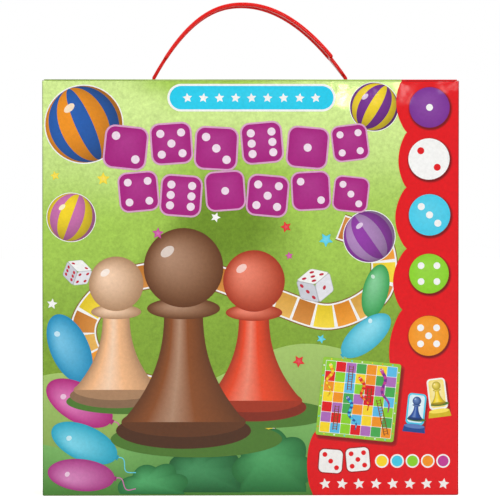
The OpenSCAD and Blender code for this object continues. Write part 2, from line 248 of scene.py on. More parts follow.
def join(parts):
    """Several (points, faces) pairs as one."""
    points, faces, start = [], [], 0
    for part_points, part_faces in parts:
        points.append(part_points)
        faces += [[i + start for i in face] for face in part_faces]
        start += len(part_points)
    return np.concatenate(points), faces


def arc(centre, radii, first, last, steps):
    """Points at centre + radii * (cos, sin) from the first angle to the last, in degrees."""
    a = np.radians(np.linspace(first, last, steps))
    return np.stack([centre[0] + radii[0] * np.cos(a), centre[1] + radii[1] * np.sin(a)], axis=1)


# Flat outlines, in millimetres across and up, anticlockwise

def oval(x, z, across, up=None, turn=0.0, steps=48):
    """An ellipse about (x, z), turned by an angle in degrees."""
    up = across if up is None else up
    a = np.linspace(0, 2 * np.pi, steps, endpoint=False)
    return turned(np.stack([across * np.cos(a), up * np.sin(a)], axis=1), turn) + (x, z)


def turned(points, turn):
    """Points turned about the origin by an angle in degrees."""
    c, s = math.cos(math.radians(turn)), math.sin(math.radians(turn))
    return np.asarray(points, float) @ np.array([[c, s], [-s, c]])


def round_box(x, z, width, height, radius, turn=0.0, steps=7):
    """A rectangle about (x, z) with round corners: four arcs about the corners of the inner rectangle."""
    w, h = width / 2 - radius, height / 2 - radius
    corners = [((w, h), 0), ((-w, h), 90), ((-w, -h), 180), ((w, -h), 270)]
    rim = np.concatenate([arc(c, (radius, radius), a, a + 90, steps) for c, a in corners])
    return turned(rim, turn) + (x, z)


def star(x, z, outer, inner, tips, turn=0.0):
    """A star whose radius jumps between outer and inner at equal angles."""
    a = np.arange(2 * tips) * np.pi / tips + math.pi / 2
    r = np.where(np.arange(2 * tips) % 2 == 0, outer, inner)
    return turned(np.stack([r * np.cos(a), r * np.sin(a)], axis=1), turn) + (x, z)


def puffs(x, z, across, up, lobes, depth, turn=0.0, steps=96):
    """A rounded bush: an ellipse whose radius swells by depth * |cos| of half its lobes' angle."""
    a = np.linspace(0, 2 * np.pi, steps, endpoint=False)
    r = 1 - depth + depth * np.abs(np.cos(a * lobes / 2))
    return turned(np.stack([across * r * np.cos(a), up * r * np.sin(a)], axis=1), turn) + (x, z)


def smooth_path(knots, steps):
    """A curve through the knots: on each span a cubic whose slopes are half the step between neighbours."""
    k = np.asarray(knots, float)
    k = np.concatenate([[2 * k[0] - k[1]], k, [2 * k[-1] - k[-2]]])
    t = np.linspace(0, len(knots) - 1 - 1e-9, steps)
    i = t.astype(int)
    u = (t - i)[:, None]
    a, b, c, d = k[i], k[i + 1], k[i + 2], k[i + 3]
    return 0.5 * (2 * b + (c - a) * u + (2 * a - 5 * b + 4 * c - d) * u**2 + (3 * (b - c) + d - a) * u**3)


GLYPHS = {}


def glyph(text):
    """Points and triangles of a number, one unit high and centred, from the plain built-in font."""
    if text in GLYPHS:
        return GLYPHS[text]
    curve = bpy.data.curves.new("numeral", "FONT")
    curve.body, curve.resolution_u, curve.offset = text, 3, 0.025
    drawn = bpy.data.objects.new("numeral", curve)
    bpy.context.scene.collection.objects.link(drawn)
    bpy.context.view_layer.update()
    mesh = bpy.data.meshes.new_from_object(drawn.evaluated_get(bpy.context.evaluated_depsgraph_get()))
    mesh.calc_loop_triangles()
    points = np.empty(len(mesh.vertices) * 3)
    mesh.vertices.foreach_get("co", points)
    triangles = np.empty(len(mesh.loop_triangles) * 3, np.int32)
    mesh.loop_triangles.foreach_get("vertices", triangles)
    points = points.reshape(-1, 3)[:, :2]
    low, high = points.min(0), points.max(0)
    GLYPHS[text] = ((points - (low + high) / 2) / (high - low)[1], triangles.reshape(-1, 3))
    bpy.data.objects.remove(drawn)
    bpy.data.curves.remove(curve)
    bpy.data.meshes.remove(mesh)
    return GLYPHS[text]


class Print:
    """Ink on a face that looks along -Y: flat shapes kept as arrays, then made one mesh of closed slabs.

    Each slab reaches from just behind the face out to layer + 1 ink steps before it, so that a higher layer
    lies over a lower one. Shapes are given in millimetres across and up from the printing's own origin."""

    def __init__(self, face_y, origin=(0.0, 0.0)):
        self.face_y = face_y
        self.step = bpy.context.scene.cover_settings.ink_step
        self.points, self.triangles, self.inks, self.count = [], [], [], 0
        self.home = np.asarray(origin, float)
        self.stand()

    def stand(self, origin=(0.0, 0.0), turn=0.0, scale=1.0):
        """The shapes that follow are scaled, turned anticlockwise in degrees and moved to origin."""
        c, s = math.cos(math.radians(turn)), math.sin(math.radians(turn))
        self.turned = MM * scale * np.array([[c, s], [-s, c]])
        self.moved = self.home + MM * np.asarray(origin, float)

    def slab(self, flat, triangles, inks, layer):
        """Adds a closed slab: the triangles in front, the same behind, and a wall on each edge that only
        one triangle has."""
        flat = np.asarray(flat, float) @ self.turned + self.moved
        tri = np.asarray(triangles, int)
        a, b, c = (flat[tri[:, i]] for i in range(3))
        area = (b - a)[:, 0] * (c - a)[:, 1] - (b - a)[:, 1] * (c - a)[:, 0]
        tri = tri[:, ::-1] if area.sum() < 0 else tri
        n = len(flat)
        edges = np.concatenate([tri[:, [0, 1]], tri[:, [1, 2]], tri[:, [2, 0]]])
        rim = edges[~np.isin(edges[:, 0] * n + edges[:, 1], edges[:, 1] * n + edges[:, 0])]
        i, j = rim.T
        walls = np.concatenate([np.stack([i + n, j + n, j], 1), np.stack([i + n, j, i], 1)])
        depths = np.repeat([self.face_y - (layer + 1) * self.step, self.face_y + self.step], n)
        both = np.concatenate([flat, flat])
        self.points.append(np.stack([both[:, 0], depths, both[:, 1]], axis=1))
        self.triangles.append(np.concatenate([tri, tri[:, ::-1] + n, walls]) + self.count)
        inks = np.broadcast_to(linear(inks), (n, 3))
        self.inks.append(np.concatenate([inks, inks]))
        self.count += 2 * n

    def fill(self, rim, colour, layer, heart=None, heart_colour=None):
        """Fills an outline from its heart: rings at even shares of the way to the rim, whose colour goes
        from the heart's to the rim's with the share's power 1.6."""
        rim = np.asarray(rim, float)
        heart = rim.mean(0) if heart is None else np.asarray(heart, float)
        rings = 1 if heart_colour is None else 6
        n = len(rim)
        shares = np.arange(1, rings + 1) / rings
        flat = np.concatenate([[heart], (heart + (rim - heart) * shares[:, None, None]).reshape(-1, 2)])
        index = 1 + np.arange(rings * n).reshape(rings, n)
        beside = np.roll(index, -1, axis=1)
        middle = np.stack([np.zeros(n, int), index[0], beside[0]], axis=1)
        out = np.stack([index[:-1], index[1:], beside[1:]], -1).reshape(-1, 3)
        back = np.stack([index[:-1], beside[1:], beside[:-1]], -1).reshape(-1, 3)
        share = np.concatenate([[0], np.repeat(shares, n)]) ** 1.6
        inks = blend(colour if heart_colour is None else heart_colour, colour, share)
        self.slab(flat, np.concatenate([middle, out, back]), inks, layer)

    def strip(self, left, right, inks, layer, columns=2):
        """Fills between two edges of as many points. Inks is one colour or an array that spreads over
        (rows, columns, 3)."""
        left, right = np.asarray(left, float), np.asarray(right, float)
        share = np.linspace(0, 1, columns)[None, :, None]
        grid = left[:, None] * (1 - share) + right[:, None] * share
        rows = len(left)
        index = np.arange(rows * columns).reshape(rows, columns)
        a, b, c, d = index[:-1, :-1], index[:-1, 1:], index[1:, 1:], index[1:, :-1]
        triangles = np.concatenate([np.stack(half, -1).reshape(-1, 3) for half in ((a, b, c), (a, c, d))])
        spread = np.broadcast_to(np.asarray(inks, float), (rows, columns, 3)).reshape(-1, 3)
        self.slab(grid.reshape(-1, 2), triangles, spread, layer)

    def ribbon(self, path, half, inks, layer, columns=2):
        """A band that goes half its width to each side of a path, square to the path's direction."""
        path = np.asarray(path, float)
        way = np.gradient(path, axis=0)
        way /= np.linalg.norm(way, axis=1, keepdims=True)
        side = np.stack([-way[:, 1], way[:, 0]], axis=1) * np.broadcast_to(half, len(path))[:, None]
        self.strip(path + side, path - side, inks, layer, columns)

    def number(self, text, x, z, height, colour, layer):
        """A plain number about (x, z)."""
        points, triangles = glyph(text)
        self.slab(points * height + (x, z), triangles, colour, layer)

    def piece(self, name, material, body, slot):
        """Makes the mesh, with each point's ink as the colour attribute "ink"."""
        made = make_piece(
            name, np.concatenate(self.points), np.concatenate(self.triangles).tolist(), material, body)
        inks = np.concatenate([np.concatenate(self.inks), np.ones((self.count, 1))], axis=1)
        attribute = made.data.color_attributes.new("ink", "FLOAT_COLOR", "POINT")
        attribute.data.foreach_set("color", inks.astype(np.float32).ravel())
        return made


# Shader graphs

class Graph:
    """Adds nodes to a tree by short calls. A value given to a socket is linked if it is a socket itself."""

    def __init__(self, tree):
        self.tree = tree

    def put(self, socket, value):
        """Links a socket to another one, or sets its own value."""
        if isinstance(value, bpy.types.NodeSocket):
            self.tree.links.new(value, socket)
        elif hasattr(value, "__len__") and socket.type == "RGBA":
            socket.default_value = (*value[:3], 1.0)
        else:
            socket.default_value = value

    def feed(self, node, inputs):
        """Puts values on a node, by the names or numbers of its inputs."""
        for name, value in inputs.items():
            self.put(node.inputs[name], value)
        return node

    def add(self, kind, inputs=None, **settings):
        """A node of a kind, with its settings and its inputs' values."""
        node = self.tree.nodes.new(kind)
        for name, value in settings.items():
            setattr(node, name, value)
        return self.feed(node, inputs or {})

    def group(self, tree, **inputs):
        """The outputs of a node group, placed here with its own values."""
        named = {name.replace("_", " "): value for name, value in inputs.items()}
        return self.add("ShaderNodeGroup", named, node_tree=tree).outputs

    def math(self, operation, *values):
        return self.add("ShaderNodeMath", dict(enumerate(values)), operation=operation).outputs[0]

    def plus(self, first, second):
        return self.math("ADD", first, second)

    def minus(self, first, second):
        return self.math("SUBTRACT", first, second)

    def times(self, first, second):
        return self.math("MULTIPLY", first, second)

    def over(self, value, limit):
        """One where the value is more than the limit, and zero elsewhere."""
        return self.math("GREATER_THAN", value, limit)

    def below(self, value, limit):
        """One where the value is less than the limit, and zero elsewhere."""
        return self.math("LESS_THAN", value, limit)

    def most(self, value, *others):
        """The largest of some values: of masks, one where any of them is."""
        for other in others:
            value = self.math("MAXIMUM", value, other)
        return value

    def vector(self, operation, *values):
        node = self.add("ShaderNodeVectorMath", dict(enumerate(values)), operation=operation)
        return node.outputs["Value" if operation == "LENGTH" else "Vector"]

    def distance(self, where, spot, spread):
        """How far a point lies from a spot, with each axis scaled by its spread."""
        return self.vector("LENGTH", self.vector("MULTIPLY", self.vector("SUBTRACT", where, spot), spread))

    def parts(self, vector):
        """A vector's three parts."""
        return self.add("ShaderNodeSeparateXYZ", {0: vector}).outputs

    def mix(self, share, first, second, how="MIX"):
        """Two colours mixed by a share."""
        node = self.add("ShaderNodeMix", data_type="RGBA", blend_type=how)
        return self.feed(node, {0: share, 6: first, 7: second}).outputs[2]

    def shaded(self, colour, light):
        """A colour times a grey or coloured light."""
        return self.mix(1.0, colour, light, "MULTIPLY")

    def range(self, value, low, high, to_low=0.0, to_high=1.0):
        """A value moved smoothly from one range to another, and held at its ends."""
        return self.add("ShaderNodeMapRange", {
            "Value": value, "From Min": low, "From Max": high, "To Min": to_low, "To Max": to_high,
        }, interpolation_type="SMOOTHSTEP").outputs["Result"]

    def noise(self, where, scale, detail=3.0, roughness=0.5):
        """Cloudy noise about 0.5, as many times to the metre as its scale."""
        return self.add("ShaderNodeTexNoise", {
            "Vector": where, "Scale": scale, "Detail": detail, "Roughness": roughness}).outputs["Fac"]

    def stretched(self, where, scales, detail, roughness):
        """Noise with a scale of its own along each axis."""
        return self.noise(self.vector("MULTIPLY", where, scales), 1.0, detail, roughness)

    def grey(self, value):
        """A value as a grey colour."""
        return self.add("ShaderNodeCombineColor", {0: value, 1: value, 2: value}).outputs[0]

    def place(self):
        """The point on the piece, in its own metres."""
        return self.add("ShaderNodeTexCoord").outputs["Object"]

    def seen(self):
        """One on rays from the camera, off gloss and through glass, and zero on those that only light."""
        path = self.add("ShaderNodeLightPath").outputs
        return self.most(*(path[f"Is {kind} Ray"] for kind in ("Camera", "Glossy", "Transmission")))


def node_group(name, inputs, outputs, fill):
    """A shader group with named sockets, built once. An input is a number, a vector or a colour by the size
    of its default. fill(graph, inputs) gives the outputs' sockets."""
    if name in bpy.data.node_groups:
        return bpy.data.node_groups[name]
    tree = bpy.data.node_groups.new(name, "ShaderNodeTree")
    for label, value in inputs.items():
        kind = {1: "Float", 3: "Vector", 4: "Color"}[np.size(value)]
        made = tree.interface.new_socket(name=label, in_out="INPUT", socket_type=f"NodeSocket{kind}")
        made.default_value = value
    for label, kind in outputs.items():
        tree.interface.new_socket(name=label, in_out="OUTPUT", socket_type=f"NodeSocket{kind}")
    graph = Graph(tree)
    entry = graph.add("NodeGroupInput").outputs
    for socket, value in zip(graph.add("NodeGroupOutput").inputs, fill(graph, entry)):
        graph.put(socket, value)
    return tree


SURFACE = {"Color": "Color", "Roughness": "Float", "Height": "Float"}
MID_GREY = (0.5, 0.5, 0.5, 1)


def edge_wear_group():
    """White board where an edge is worn, and a painted dark rim of shade along every edge. With q the
    distances outside the three pairs of faces, the middle one of the three is near zero only at an edge;
    noise breaks up the white."""
    # Painted shade along every edge: where it begins and where it is darkest, inside the edge, and the share
    # of light it leaves
    rim_shade_from, rim_shade_to, rim_shade_level = -0.9 * MM, -0.2 * MM, 0.52

    def fill(graph, entry):
        off = graph.vector("SUBTRACT", graph.place(), entry["Centre"])
        q = graph.parts(graph.vector("SUBTRACT", graph.vector("ABSOLUTE", off), entry["Half size"]))
        low = graph.math("MINIMUM", q[0], q[1])
        high = graph.most(q[0], q[1])
        middle = graph.most(low, graph.math("MINIMUM", high, q[2]))
        rough = graph.noise(graph.place(), 260.0, 5.0, 0.7)
        near = graph.plus(graph.math("DIVIDE", middle, entry["Width"]), rough)
        # The rim is painted shade, darker towards every edge of the box
        rim = graph.range(middle, rim_shade_from, rim_shade_to, 1.0, rim_shade_level)
        return [graph.times(graph.range(near, 0.28, 0.55), entry["Amount"]), graph.grey(rim)]
    inputs = {"Centre": (0, 0, 0), "Half size": (0.1, 0.1, 0.1), "Width": 0.8 * MM, "Amount": 0.5}
    return node_group("Edge wear", inputs, {"Wear": "Float", "Painted shade": "Color"}, fill)


def print_grain_group():
    """Ink on board: a faint mottle and grit in the colour, a varnish that is duller in places, and a fine
    tooth."""
    def fill(graph, entry):
        where = graph.place()
        mottle = graph.noise(where, 55.0, 6.0, 0.6)
        speck = graph.noise(where, 2600.0, 2.0, 0.5)
        shade = graph.plus(graph.times(mottle, 0.6), graph.times(speck, 0.4))
        even = graph.range(shade, 0.3, 0.7, graph.minus(1.0, entry["Mottle"]), 1.0)
        grit = graph.minus(graph.noise(where, 480.0, 3.0, 0.7), 0.5)
        even = graph.plus(even, graph.times(grit, entry["Grit"]))
        dull = graph.range(
            graph.noise(where, 18.0, 4.0, 0.55), 0.35, 0.7, entry["Gloss"], graph.plus(entry["Gloss"], 0.1))
        height = graph.plus(graph.times(speck, 0.2), mottle)
        return [graph.shaded(entry["Color"], graph.grey(even)), dull, height]
    return node_group(
        "Print grain", {"Color": MID_GREY, "Mottle": 0.06, "Grit": 0.1, "Gloss": 0.25}, SURFACE, fill)


def board_waves_group():
    """The lie of a large board panel: low waves from end to end, and close to its top edge a bend back
    towards the crease, ruffled along it. The bend wanders a little and is narrower in the right corner."""
    ruffle_depth, bend_depth, bend_width = 0.03, 1.2, 0.02
    corner_from, corner_to, corner_narrow = 0.094, 0.13, 0.013

    def fill(graph, entry):
        where = graph.place()
        wide = graph.noise(where, 9.0, 2.0, 0.4)
        parts = graph.parts(where)
        near_top = graph.range(parts[2], graph.minus(entry["Top"], ruffle_depth), entry["Top"])
        wander = graph.range(graph.stretched(where, (28.0, 0.0, 4.0), 1.0, 0.4), 0.3, 0.7, -2 * MM, 3 * MM)
        narrow = graph.plus(graph.range(parts[0], corner_from, corner_to, 0.0, -corner_narrow), wander)
        bend = graph.range(
            graph.plus(parts[2], narrow), graph.minus(entry["Top"], bend_width), entry["Top"])
        ruffle = graph.stretched(where, (70.0, 1.0, 90.0), 2.0, 0.5)
        lie = graph.plus(wide, graph.times(ruffle, graph.times(near_top, 0.3)))
        return [graph.minus(lie, graph.times(bend, bend_depth))]
    return node_group("Board waves", {"Top": 0.26}, {"Height": "Float"}, fill)


def fibre_group():
    """Bare paper and card: soft cloudy shade and short fibres."""
    def fill(graph, entry):
        where = graph.place()
        cloud = graph.noise(where, 90.0, 5.0, 0.65)
        fibre = graph.stretched(where, (1500.0, 1500.0, 420.0), 3.0, 0.6)
        both = graph.plus(graph.times(cloud, 0.5), graph.times(fibre, 0.5))
        even = graph.range(both, 0.3, 0.7, 0.9, 1.0)
        rough = graph.range(cloud, 0.3, 0.7, 0.62, 0.8)
        return [graph.shaded(entry["Color"], graph.grey(even)), rough, fibre]
    return node_group("Paper fibre", {"Color": MID_GREY}, SURFACE, fill)


# Finishes

LOW_SHINE = {"Specular IOR Level": 0.22}
WEAR_WIDTH = 0.7 * MM
PRINT_TOOTH = 0.02 * MM
CARD_TOOTH = 0.03 * MM
WAVE_DEPTH = 2.2 * MM


def new_material(name, constants=None):
    """A material with a Principled shader whose constants stay on its own sockets."""
    material = bpy.data.materials.new(name)
    material.use_nodes = True
    material.node_tree.nodes.clear()
    graph = Graph(material.node_tree)
    shader = graph.add("ShaderNodeBsdfPrincipled", constants)
    graph.add("ShaderNodeOutputMaterial", {"Surface": shader.outputs[0]})
    return material, graph, shader


def bump(graph, shader, height, distance, strength=0.3, under=None):
    """Feeds the shader's normal from a height, over another bump if there is one."""
    node = graph.add("ShaderNodeBump", {"Height": height, "Distance": distance, "Strength": strength})
    if under is not None:
        graph.put(node.inputs["Normal"], under)
    graph.put(shader.inputs["Normal"], node.outputs[0])
    return node.outputs[0]


def print_bump(graph, shader, height, top=None):
    """The tooth of print, and under it the waves of a panel if the height of its top edge is given."""
    under = None
    if top is not None:
        waves = graph.group(board_waves_group(), Top=top)
        under = bump(graph, shader, waves[0], WAVE_DEPTH, 0.6)
    bump(graph, shader, height, PRINT_TOOTH, 0.25, under)


def worn(graph, colour, low, high, width, amount):
    """A colour darkened by a painted rim of shade along the edges of the box between two corners and whitened
    where they are worn, and the wear alone."""
    wear = graph.group(
        edge_wear_group(), Centre=[(a + b) / 2 for a, b in zip(low, high)],
        Half_size=[(b - a) / 2 for a, b in zip(low, high)], Width=width, Amount=amount)
    # Painted shade darkens the colour towards the edges
    rim_shaded = graph.shaded(colour, wear["Painted shade"])
    return graph.mix(wear["Wear"], rim_shaded, linear(WEAR_WHITE)), wear["Wear"]


def printed(graph, shader, colour, mottle, grit, gloss):
    """Varnished print of a colour: its dull places go on the shader, and its colour and height come back."""
    grain = graph.group(print_grain_group(), Color=colour, Mottle=mottle, Grit=grit, Gloss=gloss)
    graph.put(shader.inputs["Roughness"], grain["Roughness"])
    return grain["Color"], grain["Height"]


def ink_material(name, low, high, top=None):
    """Glossy ink whose colour is the piece's own ink attribute, worn white at the edges of a box and
    shaded there by a painted dark rim.
    """
    material, graph, shader = new_material(name, LOW_SHINE)
    attribute = graph.add("ShaderNodeAttribute", attribute_name="ink").outputs["Color"]
    colour, height = printed(graph, shader, attribute, mottle=0.05, grit=0.28, gloss=0.1)
    wear = bpy.context.scene.cover_settings.wear
    graph.put(shader.inputs["Base Color"], worn(graph, colour, low, high, WEAR_WIDTH, wear)[0])
    print_bump(graph, shader, height, top)
    return material


def foil_material():
    """Yellow-green foil, lightest in the upper corners and darkest in the middle, and red where it ends under
    the band and at the right edge."""
    cover = bpy.context.scene.cover_settings
    dark, mid, light = (linear(c) for c in (cover.ground_dark, cover.ground_mid, cover.ground_light))
    material, graph, shader = new_material("cover_foil", LOW_SHINE)
    where = graph.place()
    parts = graph.parts(where)
    cloud = graph.minus(graph.noise(where, 16.0, 4.0, 0.6), 0.5)
    middle = graph.distance(where, (-0.015, 0, 0.172), (0.85, 0, 0.85))
    crest = graph.distance(where, (-0.03, 0, 0.27), (0.5, 0, 1.3))
    far = graph.math("MINIMUM", middle, graph.plus(crest, 0.012))
    above = graph.range(graph.plus(parts[2], graph.times(cloud, 0.05)), 0.08, 0.29)
    aside = graph.range(graph.plus(far, graph.times(cloud, 0.03)), 0.0, 0.06, 0.1, 1.0)
    share = graph.times(graph.plus(above, 0.25), aside)
    deep = graph.mix(graph.range(share, 0.1, 0.62), dark, mid)
    ground = graph.mix(graph.range(share, 0.6, 1.15), deep, light)
    under_band = graph.times(
        graph.over(parts[0], BAND_FOOT_X * MM), graph.below(parts[2], LID_LOW.z + 0.7 * MM))
    red = graph.most(under_band, graph.over(parts[0], LID_HIGH.x - 0.1 * MM))
    ground = graph.mix(red, ground, linear(cover.band_red))
    colour, height = printed(graph, shader, ground, mottle=0.1, grit=0.68, gloss=0.14)
    # Edges: white wear, and a painted dark rim that stands in for their shade
    face, wear = worn(graph, colour, face_corner(), face_end(), WEAR_WIDTH, cover.wear)
    graph.feed(shader, {"Base Color": face, "Metallic": graph.range(wear, 0.0, 0.5, 0.35, 0.0)})
    print_bump(graph, shader, height, LID_HIGH.z)
    return material


def carton_material():
    """Carton board: printed outside, green with a red end, and bare white paper inside and on cut edges. The
    strip that shows over the lid is lighter, with painted shade at its top for the crease behind it."""
    cover = bpy.context.scene.cover_settings
    dark = cover.ground_dark
    material, graph, shader = new_material(
        "carton_board", {"Coat Weight": 0.15, "Coat Roughness": 0.1, "Specular IOR Level": 0.12})
    where = graph.place()
    parts = graph.parts(where)
    low, high = (TRAY_LOW.x, LID_LOW.y, TRAY_LOW.z), tuple(TRAY_HIGH)
    skin, strip = 0.15 * MM, 1.0 * MM
    top_edge = graph.times(
        graph.below(parts[1], TRAY_LOW.y + skin), graph.over(parts[2], high[2] - strip))
    outside = graph.most(
        graph.over(graph.math("ABSOLUTE", parts[0]), high[0] - skin), graph.over(parts[1], high[1] - skin),
        graph.over(parts[2], high[2] - skin), graph.below(parts[2], low[2] + skin), top_edge)
    red = graph.over(parts[0], BAND_X * MM)
    deep = graph.range(graph.noise(where, 12.0, 4.0, 0.6), 0.3, 0.7)
    green = graph.mix(deep, linear(dark), linear(lighter(dark, 0.22)))
    # Painted shade at the strip's top, where the crease behind it lies in shadow; noise breaks it up
    crest = graph.range(parts[2], high[2] - 0.4 * MM, high[2] - 0.2 * MM)
    crease_shade_breakup = graph.range(graph.noise(where, 14.0, 3.0, 0.5), 0.4, 0.65, 0.3, 1.0)
    strip_with_crease_shade = graph.mix(
        graph.times(crest, crease_shade_breakup), linear(blend(cover.ground_mid, cover.ground_light, 0.5)),
        linear(darker(dark, 0.4)))
    ground = graph.mix(red, graph.mix(top_edge, green, strip_with_crease_shade), linear(cover.band_red))
    ink, height = printed(graph, shader, ground, mottle=0.08, grit=0.5, gloss=0.3)
    paper = graph.group(fibre_group(), Color=linear(WEAR_WHITE))
    # Edges: white wear, and a painted dark rim that stands in for their shade
    face = worn(graph, ink, low, high, 0.9 * MM, cover.wear)[0]
    graph.feed(shader, {
        "Base Color": graph.mix(outside, paper["Color"], face),
        "Metallic": graph.times(outside, graph.times(graph.minus(1.0, red), 0.3)),
    })
    bump(graph, shader, graph.plus(height, paper["Height"]), CARD_TOOTH, 0.25)
    return material


def card_material(name, colour, scale=1.0):
    """Bare card or paper of a colour, with cloudy shade and fibres as deep as its scale."""
    material, graph, shader = new_material(name)
    paper = graph.group(fibre_group(), Color=linear(colour))
    graph.feed(shader, {"Base Color": paper["Color"], "Roughness": paper["Roughness"]})
    bump(graph, shader, paper["Height"], 0.04 * MM * scale, 0.4)
    return material


def plastic_material():
    """Glossy red moulding: slightly uneven gloss, fine flow lines along it and a few rubbed spots."""
    colour = bpy.context.scene.handle_settings.colour
    material, graph, shader = new_material("handle_plastic", LOW_SHINE)
    where = graph.place()
    cloud = graph.noise(where, 70.0, 4.0, 0.6)
    flow = graph.stretched(where, (30.0, 900.0, 120.0), 3.0, 0.5)
    rubbed = graph.range(graph.noise(where, 240.0, 5.0, 0.7), 0.6, 0.72)
    graph.feed(shader, {
        "Base Color": graph.mix(cloud, linear(darker(colour, 0.06)), linear(lighter(colour, 0.012))),
        "Roughness": graph.plus(graph.range(cloud, 0.3, 0.7, 0.14, 0.22), graph.times(rubbed, 0.12)),
    })
    bump(graph, shader, graph.plus(flow, graph.times(rubbed, -0.4)), PRINT_TOOTH, 0.3)
    return material


def piece_material(name, colour, low, high, axis):
    """Punched card: printed on its two faces, square to an axis, with lighter rings about its middle, and
    grey board on the punched edge."""
    ring_step, ring_from, ring_to = 2.6 * MM, 1.1 * MM, 1.35 * MM
    material, graph, shader = new_material(name, {"Coat Weight": 0.3, "Coat Roughness": 0.15})
    normal = graph.parts(graph.add("ShaderNodeNewGeometry").outputs["True Normal"])
    face = graph.over(graph.math("ABSOLUTE", normal[axis]), 0.8)
    centre = [(a + b) / 2 for a, b in zip(low, high)]
    off = graph.distance(graph.place(), centre, [0.0 if i == axis else 1.0 for i in range(3)])
    ring = graph.range(graph.math("PINGPONG", off, ring_step), ring_from, ring_to)
    rings = graph.mix(ring, linear(colour), linear(lighter(colour, 0.3)))
    ink, height = printed(graph, shader, rings, mottle=0.06, grit=0.15, gloss=0.3)
    paper = graph.group(fibre_group(), Color=linear(rgb(188, 184, 176)))
    graph.put(shader.inputs["Base Color"], graph.mix(face, paper["Color"], ink))
    bump(graph, shader, graph.plus(height, paper["Height"]), CARD_TOOTH, 0.25)
    return material


def die_material():
    """White plastic with black paint in the pips: what lies inside both the die's cube and its round ball."""
    material, graph, shader = new_material("die_plastic", {"Coat Weight": 0.4, "Coat Roughness": 0.05})
    half = (DIE_HIGH.x - DIE_LOW.x) / 2
    ball, ball_skin, cube_skin = 1.4 * half, 0.05 * MM, 0.03 * MM
    off = graph.vector("SUBTRACT", graph.place(), tuple((DIE_LOW + DIE_HIGH) / 2))
    reach = graph.most(*graph.parts(graph.vector("ABSOLUTE", off)))
    in_ball = graph.below(graph.vector("LENGTH", off), ball - ball_skin)
    inside = graph.times(graph.below(reach, half - cube_skin), in_ball)
    cloud = graph.noise(graph.place(), 150.0, 4.0, 0.6)
    white = graph.mix(cloud, linear(rgb(236, 234, 226)), linear(rgb(246, 245, 240)))
    graph.feed(shader, {
        "Base Color": graph.mix(inside, white, linear(rgb(24, 22, 24))),
        "Roughness": graph.range(cloud, 0.3, 0.7, 0.12, 0.22),
    })
    bump(graph, shader, cloud, PRINT_TOOTH, 0.2)
    return material


# Motifs, each drawn about a place in millimetres

PIPS = {
    1: [(0, 0)], 2: [(-1, 1), (1, -1)], 3: [(-1, 1), (0, 0), (1, -1)],
    4: [(-1, -1), (-1, 1), (1, -1), (1, 1)], 5: [(-1, -1), (-1, 1), (1, -1), (1, 1), (0, 0)],
    6: [(-1, -1), (-1, 0), (-1, 1), (1, -1), (1, 0), (1, 1)],
}


def draw_tile(ink, x, z, size, turn, count, plate, pip, rim, layer, shade=0.12):
    """A die's face: a rim, a plate that is lighter at its top, and its pips."""
    ink.fill(round_box(x, z, size * 1.09, size * 1.09, size * 0.25, turn), rim, layer)
    heart = np.array([x, z]) + turned([(0, size * 0.2)], turn)[0]
    ink.fill(round_box(x, z, size, size, size * 0.21, turn), plate, layer + 0.5, heart, lighter(plate, shade))
    for place in PIPS[count]:
        px, pz = turned([np.array(place) * size * 0.27], turn)[0]
        ink.fill(oval(x + px, z + pz, size * 0.105, steps=24), pip, layer + 1)


def draw_pawn(ink, x, z, height, colour, layer):
    """A pawn: a flared body whose half width is 0.09 + 0.2 * (1 - share)^2.4 of its height, on a base and
    under a collar and a round head, each shaded from one side."""
    dark, light = darker(colour, 0.3), lighter(colour, 0.35)
    shades = np.array([dark, colour, light, colour, darker(colour, 0.12), dark])
    ink.fill(oval(x + 0.06 * height, z + 0.01 * height, 0.4 * height, 0.085 * height), GREEN_SHADE, layer)
    ink.fill(oval(x, z + 0.05 * height, 0.315 * height, 0.085 * height), darker(dark, 0.2), layer + 0.5)
    share = np.linspace(0, 1, 24)
    half = height * (0.09 + 0.2 * (1 - share) ** 2.4)
    up = z + height * (0.09 + 0.53 * share)
    ink.fill(oval(x, z + 0.09 * height, 0.29 * height, 0.07 * height), dark, layer + 1)
    ink.strip(np.stack([x - half, up], 1), np.stack([x + half, up], 1), shades, layer + 1.5, 6)
    ink.fill(oval(x, z + 0.62 * height, 0.17 * height, 0.05 * height), dark, layer + 2,
        (x - 0.05 * height, z + 0.63 * height), light)
    ink.fill(oval(x, z + 0.81 * height, 0.185 * height), dark, layer + 2.5,
        (x - 0.07 * height, z + 0.87 * height), light)
    ink.fill(oval(x - 0.075 * height, z + 0.885 * height, 0.035 * height, 0.022 * height, 35, 20),
        lighter(light, 0.6), layer + 3)


def draw_ball(ink, x, z, radius, turn, colours, layer, stripes=7):
    """A striped ball: bands between meridians, each point at (sin(longitude) cos(latitude), sin(latitude)),
    darker towards the limb."""
    ink.fill(oval(x, z, radius * 1.03), WHITE, layer)
    latitude = np.linspace(-np.pi / 2, np.pi / 2, 30)
    edges = np.linspace(-np.pi / 2, np.pi / 2, stripes + 1)
    for i, (first, last) in enumerate(zip(edges[:-1], edges[1:])):
        left, right = (
            turned(radius * np.stack([np.sin(e) * np.cos(latitude), np.sin(latitude)], 1), turn) + (x, z)
            for e in (first, last))
        across = np.linspace(first, last, 5)
        facing = np.cos(across[None, :] + 0.35) * np.cos(latitude[:, None] - 0.35)
        light = (0.68 + 0.32 * np.clip(facing, 0, 1))[..., None]
        ink.strip(left, right, np.asarray(colours[i % len(colours)]) * light, layer + 0.5, 5)
    glint = np.array([x, z]) + radius * np.array([-0.38, 0.42])
    ink.fill(oval(*glint, radius * 0.16, radius * 0.09, 40, 24), lighter(colours[0], 0.75), layer + 1)


